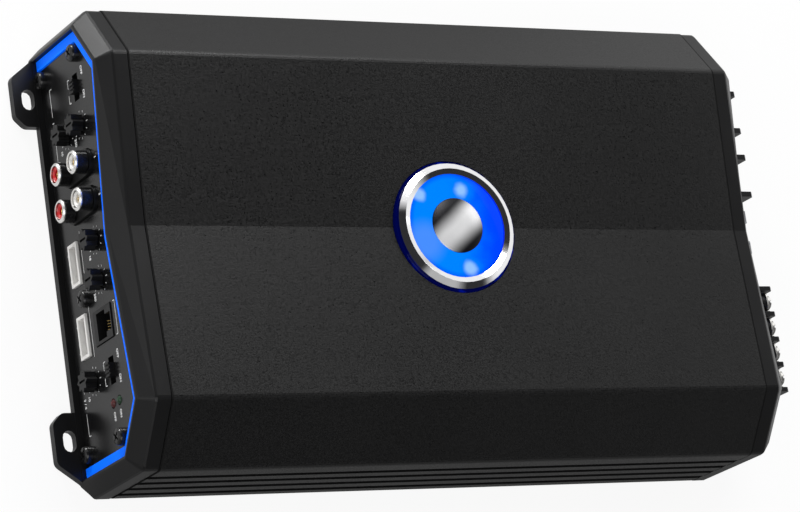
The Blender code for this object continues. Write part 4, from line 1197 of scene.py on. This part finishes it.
@dataclass
class Legend:
    """White print on the panel of one end."""

    end: End
    line: float = 0.24 * MM
    type_size: float = 1.9 * MM
    sink: float = 0.02 * MM
    height: float = 0.03 * MM
    tick: float = 0.65 * MM
    long_tick: float = 1.1 * MM

    def __post_init__(self) -> None:
        """Start with a bare panel."""
        self.panel = f"{self.end.label}_panel"
        face = self.end.span(self.panel)[1]
        self.depths = (face - self.sink, face + self.height)
        self.form = Form()

    def word(self, text: str, y: float, z: float) -> None:
        """Print figures or signs at a distance to the right of the middle of the panel, and a height."""
        self.form.words(text, self.type_size, (y, z), *self.depths)

    def rule(self, *points: Point) -> None:
        """Print a line through two or more places."""
        for start, end in zip(points, points[1:]):
            self.form.prism(stroke(start, end, self.line), *self.depths)

    def bracket(self, y: float, z: float, width: float, rise: float, gap: float) -> None:
        """Print a bracket about a place, with ends of a height and an opening in its middle."""
        for corner, inner in ((y - width / 2, y - gap / 2), (y + width / 2, y + gap / 2)):
            self.rule((corner, z + rise), (corner, z), (inner, z))

    def scale(self, spot: Point, radius: float, steps: int, sweep: float) -> None:
        """Print the ticks of a knob's scale.

        Args:
            spot: The knob's axis.
            radius: Where the ticks start.
            steps: Number of spaces between them.
            sweep: Angle from the first tick to the last.
        """
        for step in range(steps + 1):
            turn = QUARTER_TURN + sweep * (0.5 - step / steps)
            length = self.long_tick if step in (0, steps / 2, steps) else self.tick
            ends = (radius, radius + length)
            self.rule(*((spot[0] + end * math.cos(turn), spot[1] + end * math.sin(turn)) for end in ends))

    def build(self, bench: Bench) -> None:
        """Add the print."""
        bench.add(f"{self.panel}_print", self.form, Surface.PRINT, self.end)


@dataclass
class Controls(Assembly):
    """Knobs, switches, jacks, sockets and lamps of the control end.

    The sizes of a bracket are its width, its rise and its gap, after its place where that is fixed.  The
    bends of a contact wire lie behind the jack's front and below its middle.
    """

    knobs: tuple[tuple[str, str, str], ...] = (
        ("front_crossover", "50", "250"),
        ("front_level", "0", "10"),
        ("bass_boost", "0", "18"),
        ("rear_crossover", "50", "250"),
        ("rear_level", "0", "10"),
    )
    scale_radius: float = 4.5 * MM
    scale_steps: int = 10
    scale_sweep: float = math.radians(300)
    least_place: Point = (-4.6 * MM, -5.6 * MM)
    most_place: Point = (4.8 * MM, -5.6 * MM)
    switches: tuple[str, ...] = ("front_filter", "rear_filter")
    switch_words: tuple[tuple[str, float], ...] = (("OFF", -4.4 * MM), ("ON", 4.2 * MM))
    switch_word_rise: float = 5.6 * MM
    switch_bracket: tuple[float, float, float] = (8.4 * MM, 1.4 * MM, 2.6 * MM)
    switch_bracket_drop: float = 6.2 * MM
    inputs: tuple[str, ...] = ("front", "rear")
    channel_rises: tuple[tuple[str, float], ...] = (("left", 6.3 * MM), ("right", -6.3 * MM))
    contact_radii: Point = (1.45 * MM, 1.15 * MM)
    contact_setback: float = 1.2 * MM
    contact_crown: float = 0.15 * MM
    contact_sides: int = 24
    pin_signs: str = "+−−+"
    pin_sign_drop: float = 5.2 * MM
    pin_pitch: float = 3.1 * MM
    pin_width: float = 0.8 * MM
    pin_corner: float = 0.1 * MM
    pin_chamfer: float = 0.25 * MM
    pin_root: float = 1.5 * MM
    pin_setback: float = 2.4 * MM
    wires: int = 6
    wire_pitch: float = 1.02 * MM
    wire_radius: float = 0.2 * MM
    wire_bends: tuple[Point, ...] = (
        (4.0 * MM, 4.3 * MM), (4.3 * MM, 4.0 * MM), (6.0 * MM, 2.6 * MM), (8.5 * MM, 1.3 * MM)
    )
    wire_root: float = 1.8 * MM
    wire_root_drop: float = 0.7 * MM
    lamp_words: tuple[tuple[str, str], ...] = (("power_lamp", "ON"), ("protect_lamp", "OFF"))
    lamp_word_offset: float = 4.6 * MM
    divider: tuple[Point, Point] = ((-8.3 * MM, 20.3 * MM), (36.7 * MM, 20.3 * MM))
    jack_bracket: tuple[float, ...] = (28.2 * MM, 40.6 * MM, 11.8 * MM, -1.2 * MM, 0.0)
    groups: tuple[tuple[str, Point, float], ...] = (
        ("1 / 2", (-49.5 * MM, 10.6 * MM), 27.0 * MM),
        ("3 / 4", (50.5 * MM, 8.6 * MM), 23.0 * MM),
    )
    group_rise: float = 1.6 * MM
    group_gap: float = 7.0 * MM

    def dress(self) -> None:
        """Finish the solids of the control end."""
        bench = self.bench
        for name, *_ in self.knobs:
            bench.dress(Surface.BLACK_PLASTIC, f"{name}_knob")
            bench.dress(Surface.ZINC_STEEL, f"{name}_pot")
        for name in self.switches:
            bench.dress(Surface.BLACK_PLASTIC, f"{name}_lever")
            bench.dress(Surface.ZINC_STEEL, f"{name}_switch")
        for name in self.inputs:
            bench.dress(Surface.BLACK_PLASTIC, f"{name}_input_block")
            bench.dress(Surface.SLEEVE, f"{name}_right_sleeve", f"{name}_left_sleeve")
            bench.dress(Surface.RED_PLASTIC, f"{name}_right_insert")
            bench.dress(Surface.WHITE_PLASTIC, f"{name}_left_insert", f"{name}_speaker_socket")
        bench.dress(Surface.BLACK_PLASTIC, "remote_jack")
        bench.dress(Surface.RED_LAMP, "protect_lamp")
        bench.dress(Surface.GREEN_LAMP, "power_lamp")

    def build(self) -> None:
        """Add contacts, pins and print."""
        for name in self.inputs:
            for channel in ("right", "left"):
                self._build_contact(f"{name}_{channel}")
            self._build_pins(f"{name}_speaker_socket")
        self._build_jack()
        self._build_print()

    def _build_contact(self, name: str) -> None:
        """Add the spring contact of a phono jack.

        Args:
            name: The jack.
        """
        base, tip = End.CONTROL.span(f"{name}_insert")
        top = tip - self.contact_setback
        outer, inner = self.contact_radii
        crown = ((outer + inner) / 2, top + self.contact_crown)
        profile = [(outer, base), (outer, top), crown, (inner, top), (inner, base)]
        form = Form().turned(profile, self.contact_sides, End.CONTROL.spot(f"{name}_insert"), True)
        self.bench.add(f"{name}_contact", form, Surface.CONTACT, End.CONTROL)

    def _pin_places(self, name: str) -> list[Point]:
        """Where a socket's pins stand on the panel."""
        y, z = End.CONTROL.spot(name)
        return [(across, z) for across in spread(y, self.pin_pitch, len(self.pin_signs))]

    def _build_pins(self, name: str) -> None:
        """Add the pins of a speaker-level socket.

        Args:
            name: The socket.
        """
        low, high = End.CONTROL.span(name)
        form = Form()
        for spot in self._pin_places(name):
            outline = rounded(self.pin_width, self.pin_width, self.pin_corner, spot, steps=1)
            form.prism(outline, low + self.pin_root, high - self.pin_setback, self.pin_chamfer)
        self.bench.add(f"{name}_pins", form, Surface.NICKEL, End.CONTROL)

    def _build_jack(self) -> None:
        """Add the contact wires of the modular jack, which rise from the front of its mouth to the back."""
        low, high = End.CONTROL.span("remote_jack")
        y, z = End.CONTROL.spot("remote_jack")
        form = Form()
        for across in spread(y, self.wire_pitch, self.wires):
            path = [(high - back, across, z - drop) for back, drop in self.wire_bends]
            root = (low + self.wire_root, across, z - self.wire_root_drop)
            form.tube([*path, root], self.wire_radius)
        self.bench.add("remote_jack_contacts", form, Surface.CONTACT, End.CONTROL)

    def _build_print(self) -> None:
        """Print scales, figures, signs and brackets."""
        legend = Legend(End.CONTROL)
        for name, least, most in self.knobs:
            y, z = End.CONTROL.spot(f"{name}_knob")
            legend.scale((y, z), self.scale_radius, self.scale_steps, self.scale_sweep)
            for figure, (right, up) in ((least, self.least_place), (most, self.most_place)):
                legend.word(figure, y + right, z + up)
        for name in self.switches:
            y, z = End.CONTROL.spot(f"{name}_lever")
            for word, right in self.switch_words:
                legend.word(word, y + right, z + self.switch_word_rise)
            legend.bracket(y, z - self.switch_bracket_drop, *self.switch_bracket)
        numbers = itertools.count(1)
        for name in self.inputs:
            for channel, rise in self.channel_rises:
                y, z = End.CONTROL.spot(f"{name}_{channel}_sleeve")
                legend.word(str(next(numbers)), y, z + rise)
            for sign, (y, z) in zip(self.pin_signs, self._pin_places(f"{name}_speaker_socket")):
                legend.word(sign, y, z - self.pin_sign_drop)
        for name, word in self.lamp_words:
            y, z = End.CONTROL.spot(name)
            legend.word(word, y + self.lamp_word_offset, z)
        legend.rule(*self.divider)
        legend.bracket(*self.jack_bracket)
        for word, spot, width in self.groups:
            legend.bracket(*spot, width, self.group_rise, self.group_gap)
            legend.word(word, *spot)
        legend.build(self.bench)


@dataclass
class Terminals(Assembly):
    """Terminal blocks, screws and fuses."""

    power: tuple[tuple[str, Clamp, str], ...] = (
        ("supply_screw", Clamp(10.4 * MM, 8.6 * MM, 2.0 * MM, 2.4 * MM), "+"),
        ("remote_screw", Clamp(8.3 * MM, 8.6 * MM, 2.0 * MM, 2.4 * MM), "ON"),
        ("ground_screw", Clamp(10.4 * MM, 8.6 * MM, 2.0 * MM, 2.4 * MM), "−"),
    )
    speaker_clamp: Clamp = Clamp(7.4 * MM, 6.6 * MM, 2.2 * MM, 1.8 * MM)
    speaker_signs: str = "+−+−"
    fuses: tuple[str, ...] = ("left_fuse", "right_fuse")
    shank: float = 4.5 * MM
    floor_gap: float = 0.12 * MM
    type_size: float = 2.2 * MM
    sign_height: float = 43.5 * MM
    fuse_height: float = 39.0 * MM

    @property
    def speakers(self) -> tuple[str, ...]:
        """Names of the speaker screws."""
        columns = range(1, len(self.speaker_signs) + 1)
        return tuple(f"speaker_{row}_screw_{column}" for row in ("lower", "upper") for column in columns)

    def dress(self) -> None:
        """Finish the solids of the terminal end."""
        self.bench.dress(Surface.BLACK_PLASTIC, "power_block", "speaker_block", "fuse_holder")
        self.bench.dress(Surface.NICKEL, *(name for name, *_ in self.power), *self.speakers)
        self.bench.dress(Surface.CLEAR_FUSE, *self.fuses)

    def build(self) -> None:
        """Add the clamps under the screws, and the print."""
        clamps = {name: clamp for name, clamp, _ in self.power}
        clamps |= dict.fromkeys(self.speakers, self.speaker_clamp)
        for name, clamp in clamps.items():
            floor = End.TERMINAL.span(name)[0] + self.shank + self.floor_gap
            form = clamp.form(End.TERMINAL.spot(name), floor)
            self.bench.add(f"{name}_clamp", form, Surface.NICKEL, End.TERMINAL)
        legend = Legend(End.TERMINAL, type_size=self.type_size)
        for name, _, sign in self.power:
            legend.word(sign, End.TERMINAL.spot(name)[0], self.sign_height)
        for column, sign in enumerate(self.speaker_signs, start=1):
            legend.word(sign, End.TERMINAL.spot(f"speaker_upper_screw_{column}")[0], self.sign_height)
        for number, name in enumerate(self.fuses, start=1):
            legend.word(str(number), End.TERMINAL.spot(name)[0], self.fuse_height)
        legend.build(self.bench)


@dataclass
class Inside(Assembly):
    """Pieces inside the case."""

    def dress(self) -> None:
        """Finish the board, the coil and the transistor rows."""
        self.bench.dress(Surface.BOARD_GREEN, "circuit_board")
        self.bench.dress(Surface.COPPER_WIRE, "supply_coil")
        self.bench.dress(Surface.BLACK_PLASTIC, "far_transistor_row", "near_transistor_row")


# Studio

@dataclass(frozen=True)
class Softbox:
    """One square area lamp that faces the amplifier."""

    name: str
    place: Place
    size: float
    power: float

    def build(self, aim: Place) -> None:
        """Add the lamp.

        Args:
            aim: What it faces.
        """
        lamp = bpy.data.lights.new(self.name, "AREA")
        lamp.shape = "SQUARE"
        lamp.size = self.size
        lamp.energy = self.power
        holder = bpy.data.objects.new(self.name, lamp)
        holder.location = self.place
        holder.rotation_euler = (Vector(aim) - Vector(self.place)).to_track_quat("-Z", "Y").to_euler()
        bpy.context.scene.collection.objects.link(holder)


@dataclass
class Studio:
    """Floor, lamps, white surroundings and the camera."""

    floor_size: float = 6.0
    floor_drop: float = 0.05 * MM
    floor_colour: Colour = (0.88, 0.88, 0.88)
    floor_white: float = 0.9
    floor_sheen: Colour = (0.2, 0.2, 0.2)
    floor_fade: Point = (0.25, 1.2)
    bright_left: Point = (-0.05, -0.15)
    bright_right: Point = (0.13, 0.2)
    bright_near: Point = (-0.09, -0.06)
    bright_share: float = 0.65
    ambient: float = 0.35
    ceiling: Point = (0.15, 0.55)
    near_side: Point = (-0.9, -0.2)
    far_side: Point = (0.42, 0.6)
    right_side: Point = (0.7, 0.88)
    card: Place = (0.04, -0.45, 0.88)
    card_squeeze: Place = (0.35, 1.0, 1.0)
    card_fade: Point = (0.1, 0.21)
    card_colour: Colour = (0.5, 0.5, 0.5)
    ceiling_colour: Colour = (0.03, 0.03, 0.032)
    lamps: tuple[Softbox, ...] = (
        Softbox("key", (0.15, 0.82, 0.94), 0.5, 9.0),
        Softbox("low", (-0.62, 1.17, 0.14), 0.26, 13.5),
        Softbox("fill", (-0.7, -0.9, 1.2), 0.9, 8.0),
        Softbox("side", (-1.5, -0.25, 0.5), 0.7, 2.0),
        Softbox("right", (1.15, 0.55, 0.95), 0.6, 1.0),
    )
    aim: Place = (0.0, 0.0, 0.03)
    eye: Place = (-0.6673, -0.3410, 1.1328)
    ahead: Place = (0.49565, 0.25445, -0.83042)
    upward: Place = (-0.0039, 0.95677, 0.29084)
    focal: float = 166.5
    sensor: float = 36.0
    clip: Point = (0.01, 50.0)

    def build(self) -> None:
        """Add everything that isn't part of the amplifier."""
        bpy.context.scene.view_settings.view_transform = "Standard"
        self._build_floor()
        self._build_world()
        for lamp in self.lamps:
            lamp.build(self.aim)
        self._build_camera()

    @staticmethod
    def _seen(graph: Graph) -> Wire:
        """1 for rays that show the background: camera, glossy and transmitted ones."""
        kinds = ("Is Camera Ray", "Is Glossy Ray", "Is Transmission Ray")
        return reduce(operator.or_, (graph.add("ShaderNodeLightPath", output=kind) for kind in kinds))

    def _build_floor(self) -> None:
        """Add the pale floor, white to the camera but for a soft shadow."""
        shape = bmesh.new()
        bmesh.ops.create_grid(shape, x_segments=2, y_segments=2, size=self.floor_size / 2)
        mesh = bpy.data.meshes.new("floor")
        shape.to_mesh(mesh)
        shape.free()
        floor = bpy.data.objects.new("floor", mesh)
        floor.location.z = -self.floor_drop
        bpy.context.scene.collection.objects.link(floor)
        material = bpy.data.materials.new("floor")
        material.use_nodes = True
        graph = Graph(material.node_tree)
        material.node_tree.nodes.remove(material.node_tree.nodes["Principled BSDF"])
        matte = graph.add("ShaderNodeBsdfDiffuse", None, {"Color": (*self.floor_colour, 1.0)})
        glossy = graph.add("ShaderNodeLightPath", output="Is Glossy Ray")
        spot = graph.spot()
        far = graph.distance(spot, ORIGIN).step(*self.floor_fade)
        along, across = graph.part(spot, "X"), graph.part(spot, "Y")
        ends = along.step(*self.bright_left) | along.step(*self.bright_right)
        near = 1 - (far | ends * across.step(*self.bright_near) * self.bright_share)
        colour = graph.blend(near * glossy, WHITE, self.floor_sheen)
        white = graph.add("ShaderNodeEmission", None, {"Color": colour})
        inputs = {0: self._seen(graph) * self.floor_white, 1: matte, 2: white}
        shader = graph.add("ShaderNodeMixShader", None, inputs)
        graph.connect(material.node_tree.nodes["Material Output"], {"Surface": shader})
        mesh.materials.append(material)

    def _build_world(self) -> None:
        """Surround the scene with white light, and with a dark ceiling that only reflections show."""
        world = bpy.data.worlds.new("studio")
        world.use_nodes = True
        bpy.context.scene.world = world
        graph = Graph(world.node_tree)
        world.node_tree.nodes.remove(world.node_tree.nodes["Background"])
        heading = graph.add("ShaderNodeTexCoord", output="Generated")
        glossy = graph.add("ShaderNodeLightPath", output="Is Glossy Ray")
        along, across, height = (graph.part(heading, axis) for axis in "XYZ")
        bright = across.step(*self.far_side) | along.step(*self.right_side)
        overhead = height.step(*self.ceiling) * (1 - bright)
        near = 1 - across.step(*self.near_side)
        card = 1 - graph.distance(graph.scaled(heading, self.card_squeeze), self.card).step(*self.card_fade)
        ceiling = graph.blend(card, self.ceiling_colour, self.card_colour)
        colour = graph.blend((overhead | near) * glossy, WHITE, ceiling)
        light = graph.add("ShaderNodeBackground", None, {"Color": (*WHITE, 1.0), "Strength": self.ambient})
        backdrop = graph.add("ShaderNodeBackground", None, {"Color": colour, "Strength": 1.0})
        shader = graph.add("ShaderNodeMixShader", None, {0: self._seen(graph), 1: light, 2: backdrop})
        graph.connect(world.node_tree.nodes["World Output"], {"Surface": shader})

    def _build_camera(self) -> None:
        """Add the camera."""
        camera = bpy.data.cameras.new("camera")
        camera.sensor_width = self.sensor
        camera.lens = self.focal
        camera.clip_start, camera.clip_end = self.clip
        holder = bpy.data.objects.new("camera", camera)
        back = -Vector(self.ahead).normalized()
        right = Vector(self.upward).cross(back).normalized()
        turn = Matrix((right, back.cross(right), back)).transposed().to_4x4()
        holder.matrix_world = Matrix.Translation(self.eye) @ turn
        bpy.context.scene.collection.objects.link(holder)
        bpy.context.scene.camera = holder


def main() -> None:
    """Dress the solids, add the finer pieces and set up the studio."""
    logging.basicConfig(level=logging.INFO, format="%(name)s: %(message)s")
    Studio().build()
    bench = Bench(frame["nodes"])
    parts: tuple[Assembly, ...] = (
        Case(bench),
        Emblem(bench),
        EndPanel(bench, End.CONTROL, more_screws=((15.9 * MM, 19.5 * MM),)),
        EndPanel(bench, End.TERMINAL),
        Controls(bench),
        Terminals(bench),
        Inside(bench),
    )
    for part in parts:
        part.dress()
        part.build()


if __name__ == "__main__":
    main()
